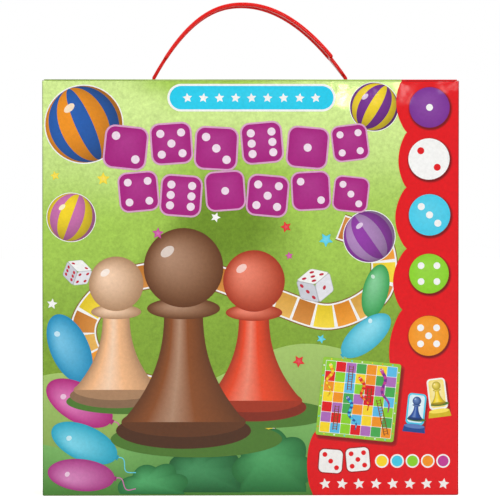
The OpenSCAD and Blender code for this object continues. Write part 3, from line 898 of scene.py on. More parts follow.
def draw_balloon(ink, x, z, width, height, turn, colour, layer):
    """A balloon with its string: an oval lit near its top, a knot and a thin wavy line."""
    foot = np.array([x, z]) + turned([(0, -height / 2)], turn)[0]
    t = np.linspace(0, 1, 24)
    string = turned(np.stack([0.05 * height * np.sin(7 * t), -0.35 * height * t], 1), turn * 0.7) + foot
    ink.ribbon(string[::-1], 0.3, lighter(colour, 0.3), layer)
    ink.fill(star(*foot, width * 0.09, width * 0.06, 3, turn), darker(colour, 0.2), layer + 0.5)
    lit = np.array([x, z]) + turned([(-0.16 * width, 0.18 * height)], turn)[0]
    skin = oval(x, z, width / 2, height / 2, turn)
    ink.fill(skin, darker(colour, 0.14), layer + 1, lit, lighter(colour, 0.4))
    ink.fill(oval(*(lit + (-0.04 * width, 0.07 * height)), 0.07 * width, 0.04 * height, turn + 50, 20),
        lighter(colour, 0.75), layer + 1.5)


def draw_cube(ink, x, z, size, turn, counts, layer):
    """A tumbling die seen from a corner: three rhombs, each with its pips squeezed as its face is."""
    across = turned([(0.87, 0.42), (-0.87, 0.42), (0.0, -0.95)], turn) * size * 0.56
    sides = [(across[0], across[1], WHITE), (across[1], across[2], rgb(206, 208, 216)),
        (across[2], across[0], rgb(230, 230, 236))]
    for (u, v, colour), count in zip(sides, counts):
        middle = np.array([x, z]) + (u + v) / 2
        rim = round_box(0, 0, 1, 1, 0.13) @ np.array([u, v]) + middle
        ink.fill(rim, darker(colour, 0.16), layer)
        ink.fill((rim - middle) * 0.94 + middle, colour, layer + 0.5)
        for place in PIPS[count]:
            pip = oval(place[0] * 0.26, place[1] * 0.26, 0.1, steps=20) @ np.array([u, v]) + middle
            ink.fill(pip, PIP_RED, layer + 1)


LADDERS = ((2, 16), (7, 23), (24, 33), (31, 45))
SNAKES = (
    (48, 21, MAGENTA, PURPLE), (39, 19, RED, ORANGE), (26, 4, BLUE, SKY), (43, 28, YELLOW, ORANGE),
)
SQUARE_INKS = (YELLOW, rgb(176, 110, 190), rgb(90, 190, 235), rgb(70, 170, 80), LIME, ORANGE, RED)


def square(number, count, pitch):
    """Middle of a board's square, by its number from 1, on rows of a count that go to and fro."""
    row, step = divmod(number - 1, count)
    column = step if row % 2 == 0 else count - 1 - step
    return np.array([column + 0.5 - count / 2, row + 0.5 - count / 2]) * pitch


def draw_ladder(ink, foot, head, pitch, layer):
    """Rungs about a quarter of a square apart, and two rails beside the line from foot to head."""
    way = (head - foot) / np.linalg.norm(head - foot)
    off = np.array([-way[1], way[0]]) * pitch * 0.19
    a, b = foot - way * pitch * 0.2, head + way * pitch * 0.2
    rungs = int(np.linalg.norm(b - a) / (pitch * 0.24))
    for share in (np.arange(rungs) + 0.5) / rungs:
        middle = a + (b - a) * share
        ink.ribbon([middle - off, middle + off], pitch * 0.032, rgb(150, 84, 28), layer)
    for sign in (-1, 1):
        ink.ribbon([a + sign * off, b + sign * off], pitch * 0.042, rgb(120, 62, 22), layer + 0.5)


def draw_snake(ink, head, tail, skin, stripe, pitch, layer):
    """A striped snake that swings aside by the sine of one and a half turns and thins with the square of the
    way, with a round head and two eyes."""
    t = np.linspace(0, 1, 97)
    off = np.array([-(tail - head)[1], (tail - head)[0]]) / np.linalg.norm(tail - head)
    swing = pitch * 0.28 * np.sin(2 * np.pi * 1.5 * t) * np.sin(np.pi * t) ** 0.4
    path = head + (tail - head) * t[:, None] + off * swing[:, None]
    half = pitch * 0.14 * (1 - 0.85 * t**2)
    stripes = np.where(np.floor(t * 15)[:, None] % 2 == 0, skin, stripe)[:, None]
    ink.ribbon(path, half + pitch * 0.022, darker(skin, 0.4), layer)
    ink.ribbon(path, half, stripes, layer + 0.5)
    ahead = path[0] - path[6]
    turn = math.degrees(math.atan2(ahead[1], ahead[0]))
    face = path[0] + ahead / np.linalg.norm(ahead) * pitch * 0.03
    cheeks = oval(*face, pitch * 0.23, pitch * 0.18, turn, 28)
    ink.fill(cheeks, skin, layer + 1, None, lighter(skin, 0.2))
    for sign in (-1, 1):
        eye = face + turned([(pitch * 0.07, sign * pitch * 0.09)], turn)[0]
        ink.fill(oval(*eye, pitch * 0.055, steps=14), WHITE, layer + 1.5)
        ink.fill(oval(*eye, pitch * 0.022, steps=10), rgb(20, 20, 24), layer + 2)


def draw_field(ink, side, layer, numbers):
    """A snakes and ladders board about the origin: a lime border with dots, a numbered grid that goes to and
    fro upwards, then ladders and snakes between its squares."""
    field = bpy.context.scene.field_settings
    count = field.squares
    margin = side * field.margin_share
    pitch = (side - 2 * margin) / count
    ink.fill(round_box(0, 0, side, side, side * 0.03), rgb(150, 205, 60), layer)
    for k in np.arange(4 * count) + 0.5:
        along, edge = (k % count) * pitch + margin - side / 2, int(k // count)
        x, z = turned([(along, (margin - side) / 2)], 90 * edge)[0]
        ink.fill(oval(x, z, margin * 0.22, steps=14), (YELLOW, WHITE, SKY, ORANGE)[int(k) % 4], layer + 0.5)
    panel = side - 2 * margin + pitch * field.gap_share
    ink.fill(round_box(0, 0, panel, panel, pitch * 0.08), WHITE, layer + 0.5)
    size = pitch * (1 - field.gap_share)
    for number in range(1, count * count + 1):
        x, z = square(number, count, pitch)
        row, step = divmod(number - 1, count)
        tint = SQUARE_INKS[(3 * row + 2 * step) % len(SQUARE_INKS)]
        ink.fill(round_box(x, z, size, size, pitch * 0.07, steps=4), tint, layer + 1)
        if numbers:
            corner = (x - pitch * 0.27, z + pitch * 0.3)
            ink.number(str(number), *corner, pitch * 0.2, rgb(40, 36, 44), layer + 1.5)
    for ends in LADDERS:
        draw_ladder(ink, *(square(end, count, pitch) for end in ends), pitch, layer + 1.5)
    for *ends, skin, stripe in SNAKES:
        draw_snake(ink, *(square(end, count, pitch) for end in ends), skin, stripe, pitch, layer + 2.5)


# Places on the lid, in millimetres: across from its middle and up from the floor. Its ink lies in layers: 0
# to 14.5 for the picture, 12 to 14.5 for the band, 12.5 to 18 for the contents, 15 to 16 for label and tiles

BAND_X = 94.2
BAND_FOOT_X = 38.8
BAND_CUSPS = ((94.2, 258.9), (97.5, 227.0), (97.2, 192.6), (97.4, 154.4), (94.7, 116.2), (93.0, 66.0))
BAND_BULGES = (90.9, 92.2, 90.3, 89.0, 86.5)
BAND_FOOT = (
    (BAND_FOOT_X, 0.6), (36.2, 8.0), (35.2, 20.0), (36.6, 32.0), (41.0, 41.0), (52.0, 52.0), (70.0, 60.0),
    (88.0, 63.0),
)
DISCS = (
    (111.6, 242.6, 12.6, PURPLE, WHITE), (111.3, 210.4, 12.9, WHITE, RED), (111.7, 175.5, 12.95, SKY, WHITE),
    (111.4, 138.8, 12.4, LIME, WHITE), (111.2, 99.9, 12.55, ORANGE, WHITE),
)


def face_corner():
    """Lowest corner of the lid's bare face, from which ink stands out."""
    return (LID_LOW.x, LID_LOW.y + bpy.context.scene.cover_settings.ink_depth, LID_LOW.z)


def face_end():
    """Highest corner of the box whose edges are worn and get the painted rim shade: over the lid's top, where
    the gap alone shows dark.
    """
    return (LID_HIGH.x, LID_HIGH.y, LID_HIGH.z + 5 * MM)


def lid_print():
    """Printing on the lid's face, which starts bare."""
    return Print(face_corner()[1])


def lid_ink():
    """The lid's ink, made once."""
    found = bpy.data.materials.get("cover_ink")
    return found or ink_material("cover_ink", face_corner(), face_end(), LID_HIGH.z)


def band_edge():
    """The red band's left edge from the bottom up: a curve through its foot's points, then between each two
    cusps an arc that bulges left."""
    rows = []
    for low, high, bulge in zip(BAND_CUSPS[:0:-1], BAND_CUSPS[-2::-1], BAND_BULGES[::-1]):
        t = np.linspace(0, 1, 25)[:-1, None]
        chord = np.array(low) * (1 - t) + np.array(high) * t
        deep = (low[0] + high[0]) / 2 - bulge
        rows.append(chord - np.hstack([deep * np.sin(np.pi * t) ** 0.75, 0 * t]))
    return np.concatenate([smooth_path(BAND_FOOT, 60), *rows, [BAND_CUSPS[0]]])


class COVER_OT_lid_board(bpy.types.Operator):
    """The lid's board with a folded bead along its top and bottom creases and a foil face"""

    bl_idname = "game_set.lid_board"
    bl_label = "Lid board"

    def profile(self):
        """The board's section, across its depth and up: two half beads in front, whose depth is less, and two
        whole beads behind, joined by straight faces. Its middle's depth comes with it."""
        bead = (LID_HIGH.y - LID_LOW.y) / 2
        middle = LID_LOW.y + bead
        front = (middle - face_corner()[1], bead)
        low, high = (middle, LID_LOW.z + bead), (middle, LID_HIGH.z - bead)
        return middle, np.concatenate([
            arc(low, front, 270, 180, 13), arc(high, front, 180, 90, 13),
            arc(high, (bead, bead), 90, -90, 26)[1:], arc(low, (bead, bead), 90, -90, 26)[:-1],
        ])

    def execute(self, context):
        middle, profile = self.profile()
        bead_end, gap, round_corner, corner_rise = 0.25 * MM, 0.3 * MM, 1.0 * MM, 0.8
        # The beads' back halves end a gap before the rolled side walls
        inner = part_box("side_roll_right")[0].x - gap
        outer = LID_HIGH.x
        corner = round_corner * (1 - np.cos(np.radians(np.linspace(0, 90, 7))))
        x = np.concatenate([[inner - bead_end, inner], outer - corner[::-1]])
        x = np.concatenate([-x[::-1], x])[:, None]
        # The lower corners rise along a quarter circle that is a little flattened
        past = np.clip(np.abs(x) - outer + round_corner, 0, None)
        lift = round_corner - np.sqrt(np.clip(round_corner**2 - past**2, 0, None))
        y = np.where(np.abs(x) > inner - bead_end, np.minimum(profile[:, 0], middle), profile[:, 0])
        z = np.maximum(profile[:, 1], LID_LOW.z + corner_rise * lift)
        points, faces = loft(np.stack(np.broadcast_arrays(x, y, z), axis=-1))
        lid = make_piece("lid_board", points, faces, foil_material(), "lid", 30)
        lid.data.materials.append(card_material("lid_back_card", BARE_CARD))
        normals = np.empty(len(lid.data.polygons) * 3)
        lid.data.polygons.foreach_get("normal", normals)
        looks_back = normals.reshape(-1, 3)[:, 1] > 0.35
        lid.data.polygons.foreach_set("material_index", looks_back.astype(np.int32))
        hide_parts("lid_panel")
        return {"FINISHED"}


class COVER_OT_band(bpy.types.Operator):
    """The scalloped red band down the right side, its five discs with dice pips, and the row of counters"""

    bl_idname = "game_set.band"
    bl_label = "Red band"

    # Millimetres left bare at the right, and by which the lower right corner is cut back across and up
    bare_edge, cut_across, cut_up = 0.05, 0.6, 0.9

    def execute(self, context):
        ink = lid_print()
        red = context.scene.cover_settings.band_red
        edge = band_edge()
        up = edge[:, 1]
        right = np.stack([np.full(len(edge), LID_HIGH.x / MM - self.bare_edge), up], axis=1)
        right[:, 0] -= self.cut_across * np.clip(1 - (up - up[0]) / self.cut_up, 0, 1) ** 2
        ink.strip(edge, right, red, 12)
        for count, (x, z, radius, colour, pip) in enumerate(DISCS, 1):
            for grown, share in ((1.11, 0.1), (1.07, 0.24), (1.035, 0.45)):
                ink.fill(oval(x + 0.5, z - 0.8, radius * grown), darker(red, share), 12.3 + 2 * share)
            ink.fill(oval(x, z, radius), colour, 14, (x - 2, z + 4), lighter(colour, 0.12))
            for place in PIPS[count]:
                px, pz = np.array(place) * radius * 0.4
                ink.fill(oval(x + px, z + pz, radius * 0.17, steps=28), pip, 14.5)
        for x, z, turn, count in ((50.0, 21.5, -4, 3), (67.0, 22.5, 5, 5)):
            draw_tile(ink, x, z, 14.5, turn, count, WHITE, red, darker(red, 0.35), 13, 0.0)
        for i, colour in enumerate((YELLOW, SKY, LIME, ORANGE, MAGENTA)):
            x = 82.0 + 9.6 * i
            ink.fill(oval(x, 21.5, 4.3, steps=32), WHITE, 13)
            ink.fill(oval(x, 21.5, 3.4, steps=32), colour, 13.5)
        for i in range(8):
            ink.fill(star(46.5 + 10.6 * i, 7.2, 3.6, 1.7, 5, 8 * (-1) ** i), WHITE, 13)
        ink.piece("cover_band", lid_ink(), "lid", "carton_print")
        return {"FINISHED"}


class COVER_OT_title(bpy.types.Operator):
    """The long cyan label and, under it, two rows of magenta dice faces in the title's place"""

    bl_idname = "game_set.title"
    bl_label = "Label and tiles"

    def execute(self, context):
        cover = context.scene.cover_settings
        pill, title = tuple(cover.pill_ink), tuple(cover.title_ink)
        ink = lid_print()
        ink.fill(round_box(0.5, 248.6, 105.0, 17.2, 8.6, steps=16), WHITE, 15)
        label = round_box(0.5, 248.6, 102.2, 14.6, 7.3, steps=16)
        ink.fill(label, pill, 15.5, (0.5, 251.0), lighter(pill, 0.08))
        for i in range(9):
            ink.fill(star(-39.5 + 10.0 * i, 248.4, 3.1, 1.5, 5, 6 * (-1) ** i), WHITE, 16)
        tiles = (
            (-78.0, 217.5, 25.0, -6, 2), (-49.5, 220.0, 24.0, 4, 5), (-21.5, 217.0, 25.0, -3, 3),
            (7.0, 220.5, 24.0, 5, 6), (35.5, 217.5, 24.0, -5, 1), (62.0, 220.5, 21.0, 7, 4),
            (-70.0, 190.0, 23.0, 5, 4), (-43.5, 187.5, 24.0, -4, 6), (-16.0, 190.5, 23.0, 4, 1),
            (10.5, 187.5, 24.0, -5, 5), (37.5, 190.5, 22.5, 3, 2), (62.5, 188.5, 20.5, -6, 3),
        )
        for tile in tiles:
            draw_tile(ink, *tile, title, lighter(title, 0.86), lighter(title, 0.6), 15)
        ink.piece("cover_title", lid_ink(), "lid", "carton_print")
        return {"FINISHED"}


class COVER_OT_scene_art(bpy.types.Operator):
    """The cover's picture: hills, bushes, balloons, striped balls, a winding track, pawns and dice"""

    bl_idname = "game_set.scene_art"
    bl_label = "Cover picture"

    def hills(self, ink):
        """Two ridges at height + swing * sin(x / 24 + phase), which rise a little to the right."""
        x = np.linspace(-129.9, 60.0, 90)
        ridges = ((74.0, 10.0, 0.4, rgb(150, 190, 78)), (40.0, 8.0, 2.2, rgb(96, 168, 66)))
        for layer, (height, swing, phase, colour) in enumerate(ridges):
            top = height + swing * np.sin(x / 24 + phase) + 0.12 * (x + 60)
            shades = np.array([lighter(colour, 0.18), darker(colour, 0.22)])
            edges = (np.stack([x, edge], 1)[::-1] for edge in (top, np.full(90, 0.6)))
            ink.strip(*edges, shades, layer)

    def track(self, ink):
        """A winding track: a dark rim, a white path, and tiles at even steps along its length."""
        knots = (
            (14, 22), (0, 48), (-44, 62), (-92, 78), (-104, 108), (-78, 134), (-30, 138), (14, 122),
            (50, 112), (80, 128), (80, 158), (56, 168),
        )
        path = smooth_path(knots, 700)
        length = np.concatenate([[0], np.cumsum(np.linalg.norm(np.diff(path, axis=0), axis=1))])
        ink.ribbon(path, 8.6, darker(TAN, 0.38), 2)
        ink.ribbon(path, 8.0, WHITE, 2.5)
        tiles = int(length[-1] / 12.5)
        colours = (TAN, YELLOW, ORANGE, rgb(236, 176, 70))
        for i in range(tiles):
            span = np.linspace((i + 0.06) / tiles, (i + 0.94) / tiles, 7) * length[-1]
            middle = np.stack([np.interp(span, length, path[:, k]) for k in range(2)], axis=1)
            ink.ribbon(middle, 7.0, np.array([darker(colours[i % 4], 0.1), lighter(colours[i % 4], 0.12)]), 3)

    def bushes(self, ink):
        """Three rounded bushes, cut off at the lid's foot and lighter at their upper left."""
        bushes = (
            (-30, 8, 30, 22, 9, 10, rgb(34, 128, 62)), (14, 16, 26, 26, 8, 0, rgb(48, 150, 72)),
            (-62, 2, 24, 18, 8, 20, rgb(52, 158, 80)),
        )
        for i, (x, z, across, up, lobes, turn, colour) in enumerate(bushes):
            rim = puffs(x, z, across, up, lobes, 0.16, turn)
            heart = (x - across * 0.2, max(z + up * 0.4, 6))
            ink.fill(rim[rim[:, 1] > 0.7], darker(colour, 0.28), 4 + i / 2, heart, lighter(colour, 0.16))

    def sparks(self, ink):
        """Small stars strewn over the ground."""
        places = (
            (-92, 198, 4.2), (22, 168, 3.6), (47, 160, 4.6), (-22, 174, 3.2), (-58, 164, 3.8),
            (-122, 200, 3.0), (30, 84, 4.0), (44, 98, 3.0), (-124, 120, 3.4), (24, 150, 2.6),
        )
        for i, (x, z, size) in enumerate(places):
            colour = (YELLOW, RED, SKY, WHITE, MAGENTA)[i % 5]
            ink.fill(star(x, z, size, size * 0.48, 5, 17 * i), colour, 14.5, None, lighter(colour, 0.3))

    def execute(self, context):
        ink = lid_print()
        self.hills(ink)
        self.track(ink)
        self.bushes(ink)
        for balloon in (
            (-113, 92, 24, 46, 24, rgb(30, 160, 215), 4), (-107, 58, 24, 46, 60, rgb(205, 40, 140), 6),
            (-104, 33, 22, 44, 66, rgb(40, 190, 225), 8), (-106, 13, 20, 42, 84, MAGENTA, 10),
            (78, 128, 16, 34, -14, rgb(60, 180, 90), 4), (72, 100, 18, 38, -50, SKY, 6),
        ):
            draw_balloon(ink, *balloon)
        for ball in (
            (-104, 232, 24, 24, (ORANGE, rgb(36, 96, 180)), 4), (77, 243, 15, -30, (PURPLE, YELLOW), 4),
            (-112, 174, 15, -20, (YELLOW, lighter(MAGENTA, 0.3)), 4, 6),
            (74, 162, 16, 35, (rgb(150, 60, 170), lighter(PURPLE, 0.45)), 6, 6),
        ):
            draw_ball(ink, *ball)
        for pawn in ((-84, 58, 92, PEACH, 8), (2, 50, 104, rgb(236, 74, 36), 5), (-42, 34, 134, BROWN, 11.3)):
            draw_pawn(ink, *pawn)
        for cube in ((40, 132, 22, 14, (5, 3, 1), 8), (-108, 140, 17, -20, (2, 6, 4), 11)):
            draw_cube(ink, *cube)
        self.sparks(ink)
        ink.piece("cover_picture", lid_ink(), "lid", "carton_print")
        return {"FINISHED"}


class COVER_OT_contents(bpy.types.Operator):
    """The small picture of the game board and of two player cards at the lower right"""

    bl_idname = "game_set.contents"
    bl_label = "Pictures of the contents"

    def execute(self, context):
        ink = lid_print()
        side, turn = 49.0, -5.9
        for grown, share in ((1.05, 0.12), (1.03, 0.24), (1.01, 0.36)):
            ink.stand((68.5, 58.4), turn)
            ink.fill(round_box(0, 0, side * grown, side * grown, 3.0), darker(RED, share), 12.5 + share)
        ink.stand((67.3, 60.1), turn)
        draw_field(ink, side, 13.5, False)
        for place, lean, *inks in (
            ((103.2, 52.0), -6, SKY, BLUE, rgb(216, 240, 250)),
            ((116.9, 61.5), 7, WHITE, YELLOW, rgb(250, 226, 120)),
        ):
            ink.stand(place, lean)
            self.card(ink, *inks)
        ink.piece("cover_contents", lid_ink(), "lid", "carton_print")
        return {"FINISHED"}

    def card(self, ink, frame_ink, foot_ink, plate):
        """A player card in its foot: a shadow, a frame, a plate with a pawn, and the foot below."""
        ink.fill(round_box(0.8, -0.9, 12.6, 22.0, 2.6), darker(RED, 0.3), 13)
        ink.fill(round_box(0, 2.0, 11.6, 19.6, 2.4), frame_ink, 13.5)
        ink.fill(round_box(0, 2.2, 9.6, 17.4, 1.8), plate, 14, (0, 5), lighter(plate, 0.5))
        foot = [(-7.2, -12.6), (7.2, -12.6), (6.4, -8.6), (-6.4, -8.6)]
        ink.fill(foot, darker(foot_ink, 0.15), 17.5)
        ink.fill(oval(0, -8.7, 6.4, 1.4, steps=28), lighter(foot_ink, 0.25), 18)
        draw_pawn(ink, 0, -4.6, 14.5, foot_ink, 14.5)


class HANDLE_OT_moulding(bpy.types.Operator):
    """The moulded handle: a strap swept along an arch, with a channelled grip and round bars at its ends"""

    bl_idname = "game_set.handle"
    bl_label = "Carry handle"

    # Powers of the arch's halves
    left_power, right_power = 2.22, 2.02
    # Radii of the outer corners and of the lips on the strap, and how much larger they are on the grip
    corner, corner_more = 0.6, 0.5
    lip, lip_more = 0.45, 0.35
    # Degrees along the arch: over which a blunt end narrows, the channel runs out and the twist sets in
    blunt, run_out, twist_set = 1.4, 3, 25
    # Degrees from the left slot: where the twist is nought, how far on it is whole, and where it has gone
    twist_zero, twist_over, twist_gone = 44, 70, 170
    # Share of the twist that the left half turns the other way at most
    twist_back = 0.3
    # Thickness of the flanges on the strap, as a share of theirs on the grip
    strap_flange = 0.6
    # Least depth of the channel, and how far inwards the right strap lies
    least_channel, strap_in = 0.01 * MM, 0.5 * MM
    # How near to a slot's middle the strap may stay as wide as it is
    slot_side = 2.0 * MM

    def bend(self, across, out, radius, first, last, steps):
        """Round corners of all sections at once: centre + radius * (cos, sin), from one angle to another."""
        a = np.radians(np.linspace(first, last, steps))
        middle, radius = np.stack([across, out], axis=-1)[:, None], radius[:, None, None]
        return middle + radius * np.stack([np.cos(a), np.sin(a)], axis=-1)

    def sections(self, s, full, ramp):
        """Closed sections, across and outwards: a rounded bar whose width and thickness go from the strap's
        to the grip's with full, and whose underside has a channel between two flanges that deepens with
        ramp."""
        thick = s.strap_thick + (s.grip_thick - s.strap_thick) * full
        half = (s.strap_width + (s.grip_width - s.strap_width) * full) / 2
        top, toe = thick / 2, -thick / 2
        web = toe + s.channel_depth * ramp + self.least_channel
        inner = half - s.flange_thick * (self.strap_flange + (1 - self.strap_flange) * full)
        corner = (self.corner + self.corner_more * full) * MM
        foot = (self.lip + self.lip_more * full) * MM
        nose = np.minimum(foot, (web - toe) / 2)
        side, leg = half - corner, half - foot
        return np.concatenate([self.bend(*turn) for turn in (
            (side, top - corner, corner, 0, 90, 7), (-side, top - corner, corner, 90, 180, 7),
            (-leg, toe + foot, foot, 180, 270, 5), (-inner - nose, toe + nose, nose, 270, 360, 5),
            (nose - inner, web - nose, nose, 180, 90, 4), (inner - nose, web - nose, nose, 90, 0, 4),
            (inner + nose, toe + nose, nose, 180, 270, 5), (leg, toe + foot, foot, 270, 360, 5),
        )], axis=1)

    def arch(self, s, angles):
        """The middle line at angles from the left slot, and its direction. Each half's height falls from the
        apex by the power of |cos|."""
        c = np.cos(np.radians(angles))
        is_left = angles < 90
        half = np.where(is_left, s.span / 2 - s.apex_shift, s.span / 2 + s.apex_shift)
        power = np.where(is_left, self.left_power, self.right_power)
        height = TRAY_HIGH.z + s.base + s.rise * (1 - np.abs(c) ** power)
        way = np.stack([half, s.rise * power * np.abs(c) ** (power - 1) * np.sign(c)], axis=1)
        way /= np.linalg.norm(way, axis=1, keepdims=True)
        return np.stack([-s.apex_shift - half * c, height], axis=1), way

    def execute(self, context):
        s = context.scene.handle_settings
        apex, edge = -s.apex_shift, s.span / 2
        first = math.degrees(math.acos((apex + edge - s.inset_left) / (edge - s.apex_shift)))
        last = 180 - math.degrees(math.acos((edge - s.inset_right - apex) / (edge + s.apex_shift)))
        near = self.blunt * np.linspace(0, 1, 14) ** 2
        angles = np.unique(np.concatenate([
            np.linspace(0, first, 24), first + near, np.linspace(first, last, 150), last - near,
            np.linspace(last, 180, 24)]))
        arch, way = self.arch(s, angles)
        stem = np.array([(edge, HANDLE_LOW.z + s.bar_radius), (edge, TRAY_HIGH.z)])
        path = np.concatenate([stem * (-1, 1), arch, stem[::-1]])
        way = np.concatenate([[(0, 1)] * 2, way, [(0, -1)] * 2])
        angles = np.concatenate([[0, 0], angles, [180, 180]])
        within = np.clip(np.minimum(angles - first, last - angles), 0, None)
        full = np.sqrt(1 - (1 - np.clip(within / self.blunt, 0, 1)) ** 2)
        ramp = np.clip(within / self.run_out, 0, 1)
        flat = self.sections(s, full, ramp * ramp * (3 - 2 * ramp))
        held = np.clip(angles / self.twist_set, 0, 1)
        held = held * np.clip((self.twist_gone - angles) / self.twist_set, 0, 1)
        share = np.clip((angles - self.twist_zero) / self.twist_over, -self.twist_back, 1)
        twist = (-s.twist * share * held)[:, None]
        across = flat[..., 0] * np.cos(twist) - flat[..., 1] * np.sin(twist)
        out = flat[..., 0] * np.sin(twist) + flat[..., 1] * np.cos(twist)
        out -= self.strap_in * ((1 - full) * (angles > 90))[:, None]
        rings = np.stack([path[:, :1] - way[:, 1:] * out, across, path[:, 1:] + way[:, :1] * out], axis=-1)
        rings[..., 1] = self.clear_of_wall(rings, edge - self.slot_side)
        points, faces = join([loft(rings), self.bar(s, -edge), self.bar(s, edge)])
        handle = make_piece("carry_handle", points, faces, plastic_material(), "handle", 40)
        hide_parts("handle")
        return {"FINISHED"}

    def clear_of_wall(self, rings, beside_slots):
        """The rings' places across. Between the slots they keep to the room that the top wall leaves when the
        handle leans over it: a point's height over the wall, less a gap, and at least a little."""
        gap, least = 1.5 * MM, 0.9 * MM
        room = np.clip(rings[..., 2] - TRAY_HIGH.z - gap, least, None)
        held = np.abs(rings[..., 0]) < beside_slots
        return np.where(held, np.clip(rings[..., 1], -room, room), rings[..., 1])

    def bar(self, s, x):
        """A bar along X: circles whose radius falls away over its round ends."""
        along = np.array([-1, -0.995, -0.98, -0.95, 0.95, 0.98, 0.995, 1])[:, None] * s.bar_length / 2
        radius = np.array([0.5, 0.78, 0.93, 1, 1, 0.93, 0.78, 0.5])[:, None] * s.bar_radius
        a = np.linspace(0, 2 * np.pi, 40, endpoint=False)
        middle = HANDLE_LOW.z + s.bar_radius
        return loft(np.stack([x + along + 0 * a, radius * np.cos(a), middle + radius * np.sin(a)], axis=-1))


def dress(node, material):
    """Gives a CAD node its finish, in its material slots."""
    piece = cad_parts[node]
    if not piece.material_slots:
        piece.data.materials.append(material)
    for place in piece.material_slots:
        place.material = material


class CARTON_OT_finish(bpy.types.Operator):
    """The carton's printed and bare board on the tray, the rolled side walls, the pad and the flap"""

    bl_idname = "game_set.carton"
    bl_label = "Carton finish"

    def execute(self, context):
        board = carton_material()
        inside = card_material("carton_inside", BARE_CARD)
        for node in ("carton_tray", "side_roll_left", "side_roll_right"):
            dress(node, board)
        for node in ("handle_pad", "tuck_flap"):
            dress(node, inside)
        return {"FINISHED"}


class FIELD_OT_board(bpy.types.Operator):
    """The game board: its grey core and the numbered grid with ladders and snakes on its front"""

    bl_idname = "game_set.field"
    bl_label = "Game board"

    def execute(self, context):
        dress("game_board", card_material("board_core", rgb(196, 190, 178), 1.5))
        middle = (FIELD_LOW + FIELD_HIGH) / 2
        ink = Print(FIELD_LOW.y, (middle.x, middle.z))
        bare_edge = 0.4
        draw_field(ink, (FIELD_HIGH.x - FIELD_LOW.x) / MM - bare_edge, 0, True)
        ink.piece("field_print", ink_material("field_ink", FIELD_LOW, FIELD_HIGH), "box", "board_print")
        return {"FINISHED"}


class PIECES_OT_finish(bpy.types.Operator):
    """The leaflet, the insert with its shelves, the player cards, their feet, the counters and the die"""

    bl_idname = "game_set.pieces"
    bl_label = "Insert and playing pieces"

    def execute(self, context):
        dress("rules_leaflet", card_material("leaflet_paper", rgb(240, 240, 236), 0.5))
        insert = card_material("insert_card", rgb(228, 226, 220))
        for node in ("insert_tray", "shelf_lower", "shelf_upper"):
            dress(node, insert)
        for colour_name, colour in (("red", RED), ("yellow", YELLOW), ("green", LIME), ("blue", SKY)):
            for kind in ("player_card", "card_foot", "counters"):
                node = f"{kind}_{colour_name}"
                dress(node, piece_material(f"{node}_print", colour, *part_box(node), 2))
        dress("die", die_material())
        return {"FINISHED"}


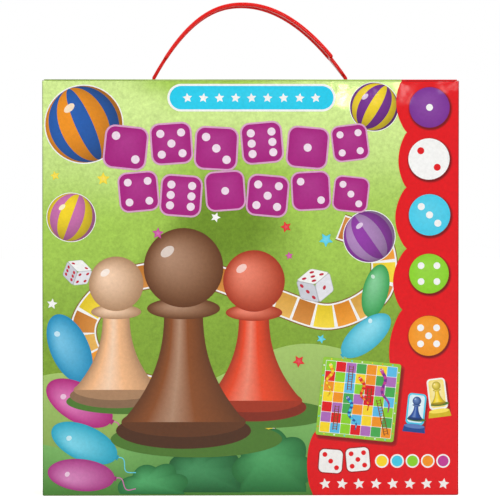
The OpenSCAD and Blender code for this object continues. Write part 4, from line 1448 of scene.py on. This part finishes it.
class STAGE_OT_build(bpy.types.Operator):
    """A plain pale floor, soft studio lamps, a white surrounding and the camera"""

    bl_idname = "game_set.stage"
    bl_label = "Stage"

    # Name, place and side in metres, and power in watts
    lamps = (
        ("lamp_left", (-1.1, -1.3, 1.3), 1.0, 8.0), ("lamp_right", (1.3, -1.2, 0.8), 0.9, 5.5),
        ("lamp_top", (0.2, 0.1, 1.6), 1.1, 6.0), ("lamp_front", (0.3, -1.6, 0.62), 0.16, 1.0),
    )
    # Half the floor's side in metres, its darkest and lightest grey, and the light of its own
    floor_half, floor_greys, floor_glow = 6.0, (0.86, 0.88), 0.5

    def execute(self, context):
        settings = context.scene.stage_settings
        context.scene.view_settings.view_transform = "Standard"
        self.world(context.scene, settings.world_light)
        self.floor()
        for name, place, size, power in self.lamps:
            self.lamp(name, place, size, power * settings.lamp_light)
        self.camera(context.scene, settings)
        return {"FINISHED"}

    def graph(self, holder):
        """An empty shader graph for a world or a material."""
        holder.use_nodes = True
        holder.node_tree.nodes.clear()
        return Graph(holder.node_tree)

    def world(self, scene, world_light):
        """A white surrounding that shows at full strength and lights at a lower one."""
        scene.world = bpy.data.worlds.new("studio")
        graph = self.graph(scene.world)
        strength = graph.plus(graph.times(graph.seen(), 1.0 - world_light), world_light)
        light = graph.add("ShaderNodeBackground", {"Color": (1.0, 1.0, 1.0), "Strength": strength})
        graph.add("ShaderNodeOutputWorld", {"Surface": light.outputs[0]})

    def floor(self):
        """One large square under the box, white, with some light of its own where it is seen, so that it
        meets the background."""
        half = self.floor_half
        mesh = bpy.data.meshes.new("floor")
        mesh.from_pydata(
            [(-half, -half, 0), (half, -half, 0), (half, half, 0), (-half, half, 0)], [], [(0, 1, 2, 3)])
        floor = bpy.data.objects.new("floor", mesh)
        bpy.context.scene.collection.objects.link(floor)
        material = bpy.data.materials.new("floor_white")
        graph = self.graph(material)
        colour = graph.mix(graph.noise(graph.place(), 40.0), *((grey,) * 3 for grey in self.floor_greys))
        matte = graph.add("ShaderNodeBsdfDiffuse", {"Color": colour})
        own = graph.add("ShaderNodeEmission", {"Strength": graph.times(graph.seen(), self.floor_glow)})
        both = graph.add("ShaderNodeAddShader", {0: matte.outputs[0], 1: own.outputs[0]})
        graph.add("ShaderNodeOutputMaterial", {"Surface": both.outputs[0]})
        mesh.materials.append(material)

    def aimed(self, name, data, place, aim):
        """An object at a place that looks at another."""
        made = bpy.data.objects.new(name, data)
        bpy.context.scene.collection.objects.link(made)
        made.location = place
        made.rotation_euler = (aim - made.location).to_track_quat("-Z", "Y").to_euler()
        return made

    def lamp(self, name, place, size, power):
        """A square area lamp that looks at the middle of the box."""
        data = bpy.data.lights.new(name, "AREA")
        data.energy, data.size = power, size
        self.aimed(name, data, place, (CAD_LOW + CAD_HIGH) / 2)

    def camera(self, scene, settings):
        """The camera, a little to the left of the picture's middle and over it."""
        data = bpy.data.cameras.new("camera")
        aim = Vector((settings.aim_x, CAD_LOW.y, settings.aim_z))
        place = aim + Vector((settings.beside, -settings.distance, settings.above))
        scene.camera = self.aimed("camera", data, place, aim)
        data.sensor_width = 36.0
        data.lens = data.sensor_width * settings.distance / settings.picture_width
        data.clip_end = 100.0


OPERATORS = (
    STAGE_OT_build, CARTON_OT_finish, COVER_OT_lid_board, COVER_OT_band, COVER_OT_title, COVER_OT_scene_art,
    COVER_OT_contents, HANDLE_OT_moulding, FIELD_OT_board, PIECES_OT_finish,
)
SETTINGS = {
    "cover_settings": COVER_PG_settings, "handle_settings": HANDLE_PG_settings,
    "field_settings": FIELD_PG_settings, "stage_settings": STAGE_PG_settings,
}


class GAME_PT_panel(bpy.types.Panel):
    """Lists the pieces of the set and their settings"""

    bl_idname = "GAME_PT_panel"
    bl_label = "Game set"
    bl_space_type = "VIEW_3D"
    bl_region_type = "UI"
    bl_category = "Game set"

    def draw(self, context):
        for operator in OPERATORS:
            self.layout.operator(operator.bl_idname)
        for name, group in SETTINGS.items():
            column = self.layout.box().column()
            for value in group.__annotations__:
                column.prop(getattr(context.scene, name), value)


def register():
    for group in SETTINGS.values():
        bpy.utils.register_class(group)
    for name, group in SETTINGS.items():
        setattr(bpy.types.Scene, name, bpy.props.PointerProperty(type=group))
    for operator in (*OPERATORS, GAME_PT_panel):
        bpy.utils.register_class(operator)


def unregister():
    for operator in (GAME_PT_panel, *OPERATORS[::-1]):
        bpy.utils.unregister_class(operator)
    for name, group in SETTINGS.items():
        delattr(bpy.types.Scene, name)
        bpy.utils.unregister_class(group)


def main():
    """Makes every piece."""
    register()
    for operator in OPERATORS:
        space, call = operator.bl_idname.split(".")
        getattr(getattr(bpy.ops, space), call)()


if __name__ == "__main__":
    main()
